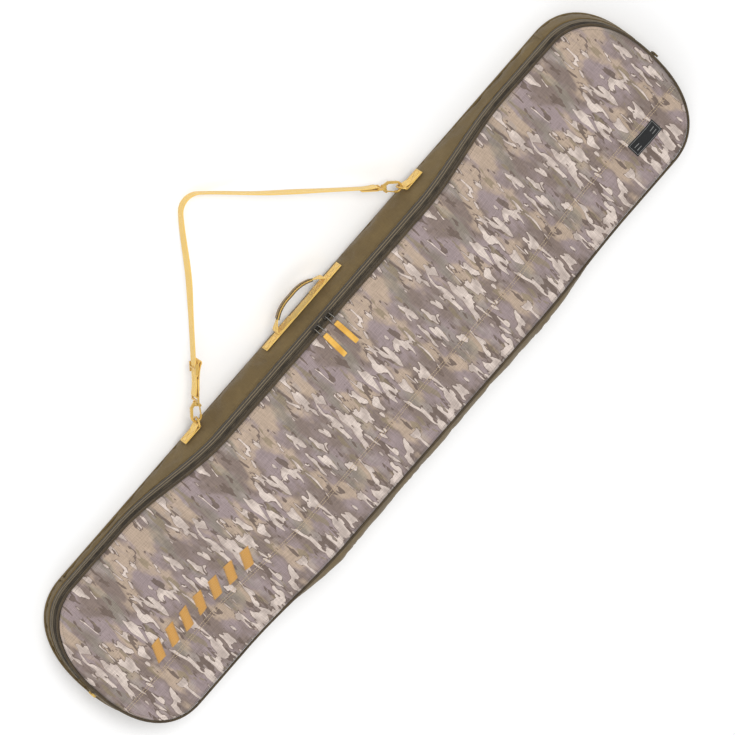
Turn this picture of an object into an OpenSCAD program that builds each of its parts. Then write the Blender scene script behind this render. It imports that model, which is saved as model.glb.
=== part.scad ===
// Padded snowboard bag lying on its back panel.
// X runs from tail to nose, Y from the hinge side to the handle side, Z up through the front panel.

/* [Bag] */
// Length over the base
bag_l = 1650; // [1400:10:1900]
// Half width of the base
base_w = 187; // [170:1:200]
// Height of the front panel between the ends
depth_mid = 116; // [110:1:140]
// Height of the front panel at the tail
depth_tail = 60; // [56:1:100]
// Height of the front panel at the nose
depth_nose = 78; // [72:1:110]
// Half width of the front panel between the ends
front_w_mid = 170; // [160:1:175]
// Half width of the front panel at the tail
front_w_tail = 183; // [170:1:184]
// Half width of the front panel at the nose
front_w_nose = 181; // [170:1:184]
// Distance from the end over which the plan rounds off
end_round = 125; // [110:1:150]

/* [Walls] */
// Outer fabric
shell_t = 2; // [1.5:0.1:2.5]
// Foam padding
foam_t = 5; // [3:0.5:7]
// Lining
lining_t = 1; // [0.8:0.1:1.5]
// Radius of the piping
piping_r = 3; // [2:0.25:3.5]

/* [Zip] */
// Height of the zip tape and band under the front panel
zip_zone = 33; // [30:1:36]
// Depth of the closed coil line under the front panel
coil_drop = 14; // [13:0.5:16]
// Distance of each slider from the middle at rest
slider_x = 16; // [14:1:24]
// Length of a pull tab
pull_tab_l = 57; // [40:1:60]

/* [Webbing and hardware] */
// Width of the webbing
web_w = 25; // [20:1:28]
// Thickness of one layer of webbing
web_t = 1.8; // [1.4:0.1:2]
// Height of the middle of the webbing above the floor
web_z = 38; // [34:1:42]
// Length of the handle base strip
strip_l = 220; // [190:5:260]
// Half span of the grip
grip_half = 64; // [55:1:75]
// Distance the grip stands off the gusset
grip_reach = 36; // [30:1:45]
// Distance of the ring bars from the middle
ring_x = 306; // [290:1:308]
// Angle of the strap legs from the long axis
leg_angle = 48; // [42:1:52]
// Radius of the strap's bend at its middle
apex_r = 35; // [25:1:50]
// Wire of the rings
ring_wire = 4; // [3.5:0.1:4.5]
// Wire of the snap hooks
hook_wire = 5; // [4:0.25:5.5]

/* [Hidden] */

TAIL = -1;
NOSE = 1;
gap = 0.3;
plan_exp = 2.3;                       // roundness of the ends in plan
straight_x = bag_l / 2 - end_round;   // where the straight sides end
zip_straight = 290;                   // the zip and sides are straight up to here
taper_end = 560;                      // and have their end shape from here
front_short = 7;                      // the front panel is this much shorter at each end
side_steps = 28;
end_steps = 10;
gusset_z0 = shell_t + gap;

// Smooth step from 0 to 1
function ease(t) = t <= 0 ? 0 : t >= 1 ? 1 : t * t * (3 - 2 * t);
// Share of the end shape at x: 0 between the ends, 1 at tail or nose
function taper(x) = ease((abs(x) - zip_straight) / (taper_end - zip_straight));
function mixed(x, mid, tail, nose) = mid + ((x < 0 ? tail : nose) - mid) * taper(x);
function front_z(x) = mixed(x, depth_mid, depth_tail, depth_nose);
function front_w(x) = mixed(x, front_w_mid, front_w_tail, front_w_nose);
function bulge(x, side) = mixed(x, side > 0 ? 17 : 31, 5, 6);
// Outer half width of the gusset at height z, fuller low down on the handle side and high up on the hinge side
function wall_w(x, z, side) =
    let (t = min(1, max(0, (z - gusset_z0) / (front_z(x) - shell_t - gusset_z0))))
    base_w + (front_w(x) - base_w) * t + bulge(x, side) * sin(180 * pow(t, side > 0 ? 0.66 : 1.4));

// Stations around the bag: [x at the straight end, share into the end, share of the width]
function side_st(side, i) = [straight_x * (2 * i / side_steps - 1), 0, side];
function end_st(at, a) = [at * straight_x, at * pow(cos(a), 2 / plan_exp), (a < 0 ? -1 : 1) * pow(abs(sin(a)), 2 / plan_exp)];
handle_sts = [for (i = [0:side_steps]) side_st(1, i)];
hinge_sts = [for (i = [side_steps:-1:0]) side_st(-1, i)];
function corner_sts(at, a0, a1) = [for (i = [0:end_steps]) end_st(at, a0 + (a1 - a0) * i / end_steps)];
nose_handle_sts = corner_sts(NOSE, 90, 0);
// The hinge side starts just past the middle of each end, so that its walls are separate solids
end_gap = -0.2;
nose_hinge_sts = corner_sts(NOSE, end_gap, -90);
tail_hinge_sts = corner_sts(TAIL, -90, end_gap);
tail_handle_sts = corner_sts(TAIL, 0, 90);
function tail_of(list) = [for (i = [1:len(list) - 1]) list[i]];
// From the middle of the tail end round the handle side to the middle of the nose end, and back
zip_sts = concat(tail_handle_sts, tail_of(handle_sts), tail_of(nose_handle_sts));
back_sts = concat(nose_hinge_sts, tail_of(hinge_sts), tail_of(tail_hinge_sts));

// Point at a station, for a half width w, an end length e and a height z
function at(st, w, e, z) = [st[0] + st[1] * e, st[2] * w, z];
// Height of the front panel at a station
function st_z(st) = front_z(st[0] + st[1] * end_round);
function st_side(st) = st[2] >= 0 ? 1 : -1;
// Point on the gusset, d outside its outer face at height z
function wall_pt(st, z, d) =
    let (t = z / st_z(st))
    at(st, wall_w(st[0], z, st_side(st)) + d, end_round - front_short * t + 4 * sin(180 * t) + d, z);

// Solid through a row of rings, each a list of the same number of points
module loft(rings, closed = false) {
    n = len(rings[0]);
    last = len(rings) - 1;
    steps = closed ? last + 1 : last;
    sides = [for (i = [0:steps - 1], j = [0:n - 1])
        let (a = i * n, b = ((i + 1) % (last + 1)) * n, k = (j + 1) % n)
        each [[a + j, b + j, b + k], [a + j, b + k, a + k]]];
    caps = closed ? [] : [[for (j = [0:n - 1]) j], [for (j = [n - 1:-1:0]) last * n + j]];
    polyhedron([for (r = rings) each r], concat(sides, caps));
}

// Height z, or a drop from the front panel when it is negative
function level(st, z) = z <= 0 ? st_z(st) + z : z;
// Wall in rows between heights z0 and z1, out beyond the gusset's outer face and t thick; skip leaves rows out at its
// foot and trim at its top
module wall(sts, z0, z1, out, t, rows = 1, skip = 0, trim = 0) {
    function row_z(st, i) = level(st, z0) + (level(st, z1) - level(st, z0)) * i / rows;
    loft([for (s = sts) concat(
        [for (i = [skip:rows - trim]) wall_pt(s, row_z(s, i), out)],
        [for (i = [rows - trim:-1:skip]) wall_pt(s, row_z(s, i), out - t)])]);
}

// Bead of round section that follows the edge of a panel
module bead(sts, radius, w_out, z_of_front, closed = false) {
    loft([for (s = sts) [for (a = [0:45:315])
        let (w = (z_of_front ? front_w(s[0]) : base_w) + w_out + radius * cos(a),
             e = end_round - (z_of_front ? front_short : 0) + w_out + radius * cos(a))
        at(s, w, e, (z_of_front ? st_z(s) - 1 : piping_r + gap) + radius * sin(a))]],
        closed);
}

// Half outline of the front panel as [x, half width], from tail to nose, inset by d
function plan_row(d) = concat(
    [for (s = tail_handle_sts) if (s[2] > 0.1) [s[0] + s[1] * (end_round - front_short - d), s[2] * (front_w(s[0]) - d)]],
    [for (s = tail_of(handle_sts)) [s[0], front_w(s[0]) - d]],
    [for (s = tail_of(nose_handle_sts)) if (s[2] > 0.1) [s[0] + s[1] * (end_round - front_short - d), s[2] * (front_w(s[0]) - d)]]);
// Layer of the front panel on one side of the fold line, from drop0 below its outer face to drop1
module front_layer(side, drop0, drop1, inset) {
    loft([for (p = plan_row(inset)) let (z = front_z(p[0]), y0 = side * gap, y1 = side * p[1])
        side > 0
            ? [[p[0], y0, z - drop1], [p[0], y0, z - drop0], [p[0], y1, z - drop0], [p[0], y1, z - drop1]]
            : [[p[0], y0, z - drop0], [p[0], y0, z - drop1], [p[0], y1, z - drop1], [p[0], y1, z - drop0]]]);
}

// Flat layer in the shape of the base, inset by d
module base_layer(z, t, d) {
    half = [for (s = zip_sts) [s[0] + s[1] * (end_round - d), s[2] * (base_w - d)]];
    translate([0, 0, z])
        linear_extrude(t)
            polygon(concat(half, [for (i = [len(half) - 2:-1:1]) [half[i][0], -half[i][1]]]));
}

// ---- Bag shell ----
module back_panel() {
    color("#74644a") base_layer(0, shell_t, 0.5);
}

module back_padding() {
    color("#d9d5cb") base_layer(shell_t + gap, foam_t, shell_t + foam_t + 3);
}

module back_lining() {
    color("#4a443c") base_layer(shell_t + foam_t + 2 * gap, lining_t, shell_t + foam_t + 4);
}

module back_piping() {
    color("#74644a") bead(concat(zip_sts, back_sts), piping_r, piping_r + 1.2, false, true);
}

module gusset_handle_side() {
    color("#87734b") wall(handle_sts, gusset_z0, -zip_zone, 0, shell_t, 4);
}

module gusset_hinge_side() {
    color("#87734b") wall(hinge_sts, gusset_z0, -shell_t - gap, 0, shell_t, 6);
}

module end_gusset(handle_half, hinge_half) {
    wall(handle_half, gusset_z0, -zip_zone, 0, shell_t, 3);
    wall(hinge_half, gusset_z0, -shell_t - gap, 0, shell_t, 4);
}

module gusset_tail_end() {
    color("#87734b") end_gusset(tail_handle_sts, tail_hinge_sts);
}

module gusset_nose_end() {
    color("#87734b") end_gusset(nose_handle_sts, nose_hinge_sts);
}

// The padding hangs just clear of the outer fabric
pad_out = -shell_t - 2;
module gusset_padding() {
    color("#d9d5cb") {
        wall(zip_sts, gusset_z0, -zip_zone, pad_out, foam_t, 4, 1);
        wall(back_sts, gusset_z0, -shell_t - gap, pad_out, foam_t, 6, 1, 1);
    }
}

module gusset_lining() {
    inner = pad_out - foam_t - 6 * gap;
    color("#4a443c") {
        wall(zip_sts, gusset_z0, -zip_zone, inner, lining_t, 4, 1);
        wall(back_sts, gusset_z0, -shell_t - gap, inner, lining_t, 6, 1, 1);
    }
}

// ---- Front: fixed strip and opening flap ----
module front_panel() {
    color("#a2938c") front_layer(-1, 0, shell_t, 0);
}

module front_padding() {
    color("#d9d5cb") front_layer(-1, shell_t + gap, shell_t + foam_t, 14);
}

module front_lining() {
    color("#4a443c") front_layer(-1, shell_t + foam_t + gap, shell_t + foam_t + lining_t, 16);
}

module front_piping() {
    color("#3c3223") bead([for (s = back_sts) if (abs(s[2]) > 0.02) s], piping_r, piping_r + 1.4, true);
}

module flap_panel() {
    color("#a2938c") front_layer(1, 0, shell_t, 0);
}

module flap_padding() {
    color("#d9d5cb") front_layer(1, shell_t + gap, shell_t + foam_t, 14);
}

module flap_lining() {
    color("#4a443c") front_layer(1, shell_t + foam_t + gap, shell_t + foam_t + lining_t, 16);
}

module flap_piping() {
    color("#3c3223") bead([for (s = zip_sts) if (abs(s[2]) > 0.02) s], piping_r, piping_r + 1.4, true);
}

// ---- Zip ----
coil_t = 2.4;
coil_h = 2.4;
coil_gap = 0.8;
tape_t = 1.2;
zip_open_sts = [for (s = zip_sts) if (s[2] > 0.02) s];

module flap_band() {
    color("#5f503c") wall(zip_open_sts, -coil_drop + coil_gap, -shell_t - gap, 0, tape_t, 2);
}

module zip_tape_fixed() {
    color("#4f463d") wall(zip_open_sts, -zip_zone + gap, -coil_drop - coil_gap, 0, tape_t, 2);
}

module zip_coil_fixed() {
    color("#8f8576")
        wall(zip_open_sts, -coil_drop - coil_gap - coil_h, -coil_drop - coil_gap, gap / 3 + coil_t, coil_t);
}

module zip_coil_flap() {
    color("#8f8576")
        wall(zip_open_sts, -coil_drop + coil_gap, -coil_drop + coil_gap + coil_h, gap / 3 + coil_t, coil_t);
}

// Folded fabric tab over each end of the zip
module zip_tab(end) {
    z = (end < 0 ? depth_tail : depth_nose) - coil_drop;
    tab_l = 6;
    tab_h = 24;
    tab_w = 14;
    translate([end * (bag_l / 2 + 3.4 + tab_l / 2), -tab_w / 2 - 1, z - 6])
        cube([tab_l, tab_w, tab_h], center = true);
}

module zip_tab_tail() {
    color("#b79d5a") zip_tab(TAIL);
}

module zip_tab_nose() {
    color("#74644a") zip_tab(NOSE);
}

// Frame on the coil line: X along the zip, Y outwards from the tape, Z along the tape towards the front panel
coil_z = depth_mid - coil_drop;
zip_lean = 27;
coil_y = wall_w(0, coil_z, 1);
crown_u = 7.4;
module on_zip(end) {
    translate([end * slider_x, coil_y, coil_z])
        rotate([zip_lean, 0, 0])
            children();
}

slider_l = 20;
slider_w = 12;
pull_wire_d = 1.6;
pull_bore_l = 6;
module zip_slider(end) {
    on_zip(end) difference() {
        union() {
            // outer plate
            translate([-slider_l / 2, coil_t + 0.8, -slider_w / 2]) cube([slider_l, 2, slider_w]);
            // level post between the coils
            rotate([-zip_lean, 0, 0]) translate([-3, -tape_t - 1.4, -0.4]) cube([6, tape_t + coil_t + 3, 0.8]);
            // inner plate behind the flap's tape
            translate([-slider_l / 2, -tape_t - 2.2, -0.4]) cube([slider_l, 1.4, slider_w / 2]);
            // crown that holds the pull
            translate([-pull_bore_l / 2, coil_t + 2.6, -2]) cube([pull_bore_l, crown_u - coil_t - 2.6, 4]);
            translate([-pull_bore_l / 2, crown_u, 0]) rotate([0, 90, 0]) cylinder(d = 4, h = pull_bore_l, $fn = 32);
        }
        translate([-pull_bore_l, crown_u, 0])
            rotate([0, 90, 0])
                cylinder(d = pull_wire_d + 0.15, h = 2 * pull_bore_l, $fn = 32);
    }
}

module zip_slider_tail() {
    color("#3a352f") zip_slider(TAIL);
}

module zip_slider_nose() {
    color("#3a352f") zip_slider(NOSE);
}

// Round bar from one point to another
module bar(p, q, d) {
    v = q - p;
    l = norm(v);
    translate(p)
        rotate([0, acos(v[2] / l), atan2(v[1], v[0])])
            cylinder(d = d, h = l, $fn = 32);
}

// Flat bent strip through a row of points in a plane, d wide, as a plane figure
module path_figure(points, d) {
    for (i = [0:len(points) - 2]) {
        v = (points[i + 1] - points[i]) / norm(points[i + 1] - points[i]);
        n = [-v[1], v[0]] * d / 2;
        polygon([points[i] - n, points[i + 1] - n, points[i + 1] + n, points[i] + n]);
    }
    for (i = [1:len(points) - 2]) translate(points[i]) circle(d = d, $fn = 24);
}

pull_y = coil_y + crown_u * cos(zip_lean);
pull_z = coil_z + crown_u * sin(zip_lean);
pull_rest_z = depth_mid + 2.8;
tab_start_y = front_w_mid - 5;
// Wire loop: a rod through the slider's crown and two bent legs that reach over the piping
module pull_wire(end) {
    half = 4.6;
    over_y = pull_y - 0.6;
    foot_y = tab_start_y - 5;
    translate([end * slider_x, 0, 0]) {
        for (x = [-half - pull_wire_d, half])
            translate([x, 0, 0])
                rotate([90, 0, 90])
                    linear_extrude(pull_wire_d)
                        path_figure([[foot_y, pull_rest_z], [tab_start_y, pull_rest_z],
                                     [over_y, pull_rest_z + 2.2], [pull_y, pull_z]], pull_wire_d);
        translate([-half - pull_wire_d, pull_y, pull_z])
            rotate([0, 90, 0])
                cylinder(d = pull_wire_d, h = 2 * (half + pull_wire_d), $fn = 32);
        translate([-half, foot_y, pull_rest_z - pull_wire_d / 2]) cube([2 * half, pull_wire_d, pull_wire_d]);
    }
}

module pull_wire_tail() {
    color("#b9bbbd") pull_wire(TAIL);
}

module pull_wire_nose() {
    color("#b9bbbd") pull_wire(NOSE);
}

// Moulded tab, cut away where the wire runs into it
pull_tab_w = 12;
pull_tab_t = 4;
module pull_tab(end) {
    y1 = tab_start_y - 5.3;
    translate([end * slider_x, y1, pull_rest_z])
        difference() {
            rotate([90, 0, 0])
                linear_extrude(pull_tab_l)
                    square([pull_tab_w, pull_tab_t], center = true);
            for (i = [1:6])
                translate([0, -7 - 7.5 * i, pull_tab_t / 2])
                    cube([pull_tab_w + 1, 2, 1.2], center = true);
        }
}

module pull_tab_tail() {
    color("#e7be55") pull_tab(TAIL);
}

module pull_tab_nose() {
    color("#e7be55") pull_tab(NOSE);
}

// ---- Carry handle ----
wall_y = 199.2;      // clear of the fullest part of the handle side
strip_t = web_t;
module handle_base_strip() {
    color("#eec567")
        translate([-strip_l / 2, wall_y, web_z - web_w / 2])
            cube([strip_l, strip_t, web_w]);
}

hinge_y = wall_y + strip_t + 2.8;
grip_clear = 6;
// Arch in the plane of the floor, as a band of radial thickness t between two half angles
arch_end_y = hinge_y + grip_clear;
arch_rise = wall_y + grip_reach - arch_end_y;
arch_rad = (grip_half * grip_half + arch_rise * arch_rise) / (2 * arch_rise);
arch_half = asin(grip_half / arch_rad);
module arch(t, half_angle, h, out = 0) {
    translate([0, wall_y + grip_reach - arch_rad, web_z - h / 2])
        rotate([0, 0, 90 - half_angle])
            rotate_extrude(angle = 2 * half_angle, $fn = 96)
                translate([arch_rad + out - t, 0])
                    square([t, h]);
}

module handle_web() {
    foot_l = 12;
    color("#eec567") {
        arch(web_t, arch_half, web_w);
        for (s = [-1, 1]) {
            // foot sewn to the base strip, rolled where it bends
            translate([s * grip_half - foot_l / 2, hinge_y, web_z])
                rotate([0, 90, 0])
                    cylinder(d = 4.4, h = foot_l, $fn = 32);
            translate([s * grip_half - (s > 0 ? 2 : 0), hinge_y, web_z - 2])
                cube([2, grip_clear + 1, 4]);
        }
    }
}

module handle_grip() {
    color("#6e6040") {
        arch(2, arch_half - 9, web_w, 2.3);
        arch(2, arch_half - 9, web_w, -web_t - 0.3);
    }
}

// ---- Strap rings ----
bar_y = wall_y + web_t + ring_wire / 2 + 0.2;
tab_l = 42;
// Nose side drawn, tail side mirrored
module at_end(end) {
    mirror([end < 0 ? 1 : 0, 0, 0]) children();
}

module ring_tab(end) {
    loop_d = ring_wire + 2 * web_t;
    at_end(end)
        difference() {
            union() {
                translate([ring_x + loop_d / 2 - 1, wall_y, web_z - web_w / 2]) cube([tab_l, 2 * web_t, web_w]);
                translate([ring_x, wall_y, web_z - web_w / 2]) cube([loop_d / 2 + 1, loop_d - 0.6, web_w]);
                translate([ring_x, bar_y, web_z - web_w / 2]) cylinder(d = loop_d - 0.4, h = web_w, $fn = 48);
            }
            translate([ring_x, bar_y, web_z - web_w]) cylinder(d = ring_wire + 0.2, h = 2 * web_w, $fn = 48);
        }
}

module ring_tab_tail() {
    color("#eec567") ring_tab(TAIL);
}

module ring_tab_nose() {
    color("#eec567") ring_tab(NOSE);
}

ring_r = web_w / 2 + ring_wire / 2 + 0.5;
module ring(end) {
    at_end(end)
        translate([ring_x, bar_y, web_z])
            rotate([0, 0, 180 - leg_angle]) {
                translate([0, 0, -ring_r]) cylinder(d = ring_wire, h = 2 * ring_r, $fn = 48);
                for (s = [-1, 1]) translate([0, 0, s * ring_r]) sphere(d = ring_wire, $fn = 48);
                rotate([90, 0, 0])
                    rotate([0, 0, -90])
                        rotate_extrude(angle = 180, $fn = 64)
                            translate([ring_r, 0]) circle(d = ring_wire, $fn = 48);
            }
}

module ring_tail() {
    color("#d9b04c") ring(TAIL);
}

module ring_nose() {
    color("#d9b04c") ring(NOSE);
}

// ---- Snap hooks ----
// Frame of a hook: origin where the ring's wire passes, X along the strap leg, Y towards the inside of the strap
hook_x = ring_x - ring_r * cos(leg_angle);
hook_y = bar_y + ring_r * sin(leg_angle);
bow_r = 9.5;
bow_shift = 1.5;
gate_x = 22;
gate_y = 7.5;
barrel_x0 = 24;
barrel_x1 = 31;
eye_x0 = 33;
module on_leg(end) {
    at_end(end)
        translate([hook_x, hook_y, web_z])
            rotate([0, 0, 180 - leg_angle])
                translate([bow_shift, 0, 0])
                    children();
}

module snap_hook(end) {
    on_leg(end) difference() {
        union() {
            rotate([0, 0, 90])
                rotate_extrude(angle = 180, $fn = 64)
                    translate([bow_r, 0]) circle(d = hook_wire, $fn = 48);
            translate([0, 0, -hook_wire / 2])
                linear_extrude(hook_wire)
                    path_figure([[0, -bow_r], [18, -bow_r], [barrel_x0 + 3, -3.5]], hook_wire);
            translate([0, bow_r, 0]) rotate([0, 90, 0]) cylinder(d = hook_wire, h = 3.5, $fn = 48);
            translate([barrel_x0, 0, 0]) rotate([0, 90, 0]) cylinder(d = 11, h = barrel_x1 - barrel_x0, $fn = 48);
            // cheeks that hold the gate
            for (z = [-3.6, 1.8]) {
                translate([gate_x, gate_y, z]) cylinder(d = 6, h = 1.8, $fn = 48);
                translate([gate_x - 1, gate_y - 5, z]) cube([5, 6, 1.8]);
            }
        }
        translate([barrel_x0 - 4, 0, 0]) rotate([0, 90, 0]) cylinder(d = 4.2, h = 20, $fn = 48);
        translate([gate_x, gate_y, -6]) cylinder(d = 2, h = 12, $fn = 48);
    }
}

module snap_hook_tail() {
    color("#d9b04c") snap_hook(TAIL);
}

module snap_hook_nose() {
    color("#d9b04c") snap_hook(NOSE);
}

module gate_pin(end) {
    on_leg(end) translate([gate_x, gate_y, -3.6]) cylinder(d = 2, h = 7.2, $fn = 48);
}

module gate_pin_tail() {
    color("#b58f35") gate_pin(TAIL);
}

module gate_pin_nose() {
    color("#b58f35") gate_pin(NOSE);
}

module hook_gate(end) {
    on_leg(end) difference() {
        union() {
            bar([4.2, bow_r, 0], [gate_x, gate_y, 0], 2.8);
            translate([gate_x, gate_y, -1.5]) cylinder(d = 5, h = 3, $fn = 48);
        }
        translate([gate_x, gate_y, -3]) cylinder(d = 2.15, h = 6, $fn = 48);
    }
}

module hook_gate_tail() {
    color("#d9b04c") hook_gate(TAIL);
}

module hook_gate_nose() {
    color("#d9b04c") hook_gate(NOSE);
}

eye_in = web_w / 2 + 0.8;
eye_wire = 3.6;
eye_l = 10;
module swivel_eye(end) {
    on_leg(end) {
        translate([barrel_x0 - 2.6, 0, 0]) rotate([0, 90, 0]) cylinder(d = 5.6, h = 2.3, $fn = 48);
        translate([barrel_x0 - 0.4, 0, 0]) rotate([0, 90, 0]) cylinder(d = 4, h = eye_x0 - barrel_x0 + 1, $fn = 48);
        // flat frame for the webbing
        rotate([90, 0, 0])
            translate([0, 0, -eye_wire / 2])
                linear_extrude(eye_wire)
                    difference() {
                        translate([eye_x0 - eye_wire / 2, -eye_in - eye_wire])
                            square([eye_l + eye_wire, 2 * (eye_in + eye_wire)]);
                        translate([eye_x0 + eye_wire / 2, -eye_in]) square([eye_l - eye_wire, 2 * eye_in]);
                    }
    }
}

module swivel_eye_tail() {
    color("#d9b04c") swivel_eye(TAIL);
}

module swivel_eye_nose() {
    color("#d9b04c") swivel_eye(NOSE);
}

// ---- Shoulder strap ----
// Plan route: a leg at leg_angle from each hook and an arc between them
leg_start = bow_shift + eye_x0 + eye_l + eye_wire / 2 + gap;
apex_top = hook_y + hook_x * tan(leg_angle);
arc_c = apex_top - apex_r / cos(leg_angle);
arc_x = apex_r * sin(leg_angle);
leg_l = norm([hook_x - arc_x, arc_c + apex_r * cos(leg_angle) - hook_y]);
floor_z = web_w / 2 + 0.1;
arc_steps = 10;
// Height of the middle of the strap falls from the hooks to the floor along each leg
fall_start = 262;
function strap_z(s) = web_z + (floor_z - web_z) * ease((s - fall_start) / (leg_l - fall_start));
function leg_pt(s) = [hook_x - s * cos(leg_angle), hook_y + s * sin(leg_angle), strap_z(s)];
function arc_pt(a) = [apex_r * cos(a), arc_c + apex_r * sin(a), floor_z];
nose_leg = [for (i = [0:10]) let (s = leg_start + (leg_l - leg_start) * i / 10) [leg_pt(s), 90 - leg_angle]];
apex_arc = [for (i = [1:arc_steps - 1]) let (a = 90 - leg_angle + 2 * leg_angle * i / arc_steps) [arc_pt(a), a]];
tail_leg = [for (i = [10:-1:0]) [[-nose_leg[i][0][0], nose_leg[i][0][1], nose_leg[i][0][2]], 90 + leg_angle]];
module strap_webbing() {
    color("#eec567")
        loft([for (q = concat(nose_leg, apex_arc, tail_leg))
            let (p = q[0], n = [cos(q[1]), sin(q[1]), 0] * web_t / 2, up = [0, 0, web_w / 2])
            [p + n - up, p - n - up, p - n + up, p + n + up]]);
}

adjuster_s = 100;
module strap_adjuster() {
    plate_l = 20;
    rim = 3.2;
    half_h = web_w / 2 + rim + 0.6;
    slot_t = web_t / 2 + 0.4;
    rail_h = rim + 0.2;
    color("#d9b04c")
        at_end(TAIL)
            translate(leg_pt(adjuster_s))
                rotate([0, 0, 180 - leg_angle]) {
                    // rails above and below the strap
                    for (z = [-half_h, half_h - rail_h + 0.2])
                        translate([-plate_l / 2, -slot_t - 1.6, z]) cube([plate_l, 2 * slot_t + 3.2, rail_h - 0.2]);
                    // end bars on the inside, middle bar on the outside
                    for (x = [-plate_l / 2, plate_l / 2 - rim])
                        translate([x, slot_t, -half_h + 1]) cube([rim, 1.6, 2 * half_h - 2]);
                    translate([-rim / 2, -slot_t - 1.6, -half_h + 1]) cube([rim, 1.6, 2 * half_h - 2]);
                }
}

// ---- Marks on the fixed strip ----
// Height of the front panel's own flat facets, which run from station to station
facet_l = 2 * straight_x / side_steps;
function facet_z(x) =
    let (i = floor((x + straight_x) / facet_l), x0 = i * facet_l - straight_x, t = (x - x0) / facet_l)
    front_z(x0) * (1 - t) + front_z(x0 + facet_l) * t;
// Thin patch with straight edges that lies on the front panel
module patch(outline, t) {
    low = [for (p = outline) [p[0], p[1], facet_z(p[0]) + gap]];
    top = [for (p = outline) [p[0], p[1], facet_z(p[0]) + gap + t]];
    loft([low, top]);
}

module woven_label() {
    label_x = 695;
    label_y = -100;
    half_l = 36;
    half_w = 15;
    color("#1c1b1d") patch([[label_x - half_l, label_y - half_w], [label_x + half_l, label_y - half_w],
                            [label_x + half_l, label_y + half_w], [label_x - half_l, label_y + half_w]], 0.8);
}

// Row of plain ridges, embroidered
emblem_x = -700;
emblem_y = -60;
ridge_count = 7;
ridge_w = 41;
ridge_h = 40;
module emblem() {
    color("#e0a63f")
        for (i = [0:ridge_count - 1])
            patch([[emblem_x + i * ridge_w, emblem_y], [emblem_x + (i + 0.55) * ridge_w, emblem_y],
                   [emblem_x + (i + 0.95) * ridge_w, emblem_y + ridge_h], [emblem_x + (i + 0.4) * ridge_w, emblem_y + ridge_h]], 0.8);
}

back_panel();
back_padding();
back_lining();
back_piping();
gusset_handle_side();
gusset_hinge_side();
gusset_tail_end();
gusset_nose_end();
gusset_padding();
gusset_lining();
front_panel();
front_padding();
front_lining();
front_piping();
flap_panel();
flap_padding();
flap_lining();
flap_piping();
flap_band();
zip_tape_fixed();
zip_coil_fixed();
zip_coil_flap();
zip_tab_tail();
zip_tab_nose();
zip_slider_tail();
zip_slider_nose();
pull_wire_tail();
pull_wire_nose();
pull_tab_tail();
pull_tab_nose();
handle_base_strip();
handle_web();
handle_grip();
ring_tab_tail();
ring_tab_nose();
ring_tail();
ring_nose();
snap_hook_tail();
snap_hook_nose();
hook_gate_tail();
hook_gate_nose();
gate_pin_tail();
gate_pin_nose();
swivel_eye_tail();
swivel_eye_nose();
strap_webbing();
strap_adjuster();
woven_label();
emblem();
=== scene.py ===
"""Looks of a padded snowboard bag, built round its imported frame.

The bag lies on its back panel: +X runs to the nose, +Y to the carry handle and zip, +Z up. Sizes are in metres.
"""
import math
from contextlib import contextmanager

import bmesh
import bpy
import numpy as np
from mathutils import Matrix, Vector, noise
from mathutils.bvhtree import BVHTree


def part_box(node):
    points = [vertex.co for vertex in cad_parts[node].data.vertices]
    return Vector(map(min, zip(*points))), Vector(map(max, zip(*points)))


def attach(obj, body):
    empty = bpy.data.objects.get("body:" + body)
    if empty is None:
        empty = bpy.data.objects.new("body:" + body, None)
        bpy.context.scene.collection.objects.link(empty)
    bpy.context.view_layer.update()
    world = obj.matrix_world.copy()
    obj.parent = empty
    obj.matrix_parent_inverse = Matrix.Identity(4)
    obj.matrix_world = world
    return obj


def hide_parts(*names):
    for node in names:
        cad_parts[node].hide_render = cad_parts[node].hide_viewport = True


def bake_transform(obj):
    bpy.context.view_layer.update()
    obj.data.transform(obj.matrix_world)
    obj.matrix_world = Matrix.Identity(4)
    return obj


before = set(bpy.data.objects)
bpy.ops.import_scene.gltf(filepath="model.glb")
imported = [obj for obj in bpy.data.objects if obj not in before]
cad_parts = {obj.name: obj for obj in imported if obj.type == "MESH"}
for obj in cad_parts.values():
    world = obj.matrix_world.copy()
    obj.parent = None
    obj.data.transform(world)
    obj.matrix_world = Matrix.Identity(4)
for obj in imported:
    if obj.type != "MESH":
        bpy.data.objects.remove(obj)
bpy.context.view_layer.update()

# ---- Sizes of the frame ----
HALF_L = 0.825
BASE_W = 0.187
END_R = 0.125
STRAIGHT_X = HALF_L - END_R
PLAN_POWER = 2 / 2.3
SHORTER = 0.007          # the front panel ends this much before the base
SHELL_T = 0.002
FOAM_T = 0.005
PIPING_R = 0.003
FOOT_Z = 0.0023          # where the gusset starts
ZIP_ZONE = 0.033         # tape and band under the front edge
COIL_DROP = 0.014
WEB_W = 0.025
WEB_T = 0.0018
WEB_Z = 0.038
WALL_Y = 0.1992          # outer face that the webbing is sewn to
BAR_Y = 0.2032
STRIP_HALF = 0.110       # half length of the handle's base strip
RING_X = 0.306
RING_R = 0.015
LEG_ANGLE = math.radians(48)
SEAM_V = -0.42           # the front's seam, as a share of its half width
DEPTH = 0.116            # height of the front panel in the middle, at the tail and at the nose
DEPTH_TAIL = 0.060
DEPTH_NOSE = 0.078
FRONT_W = 0.170          # its half width in the same places
FRONT_W_TAIL = 0.183
FRONT_W_NOSE = 0.181


# ---- Shape of the bag ----
def joined(*parts):
    """The parts broadcast together and stacked as the last axis."""
    return np.stack(np.broadcast_arrays(*parts), -1)


def ease(t):
    t = np.clip(t, 0, 1)
    return t * t * (3 - 2 * t)


def bell(x, width):
    return np.exp(-(x / width) ** 2)


def mixed(x, middle, tail, nose):
    """Middle value between the ends, blending to the tail's or the nose's."""
    return middle + (np.where(x < 0, tail, nose) - middle) * ease((np.abs(x) - 0.290) / 0.270)


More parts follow.
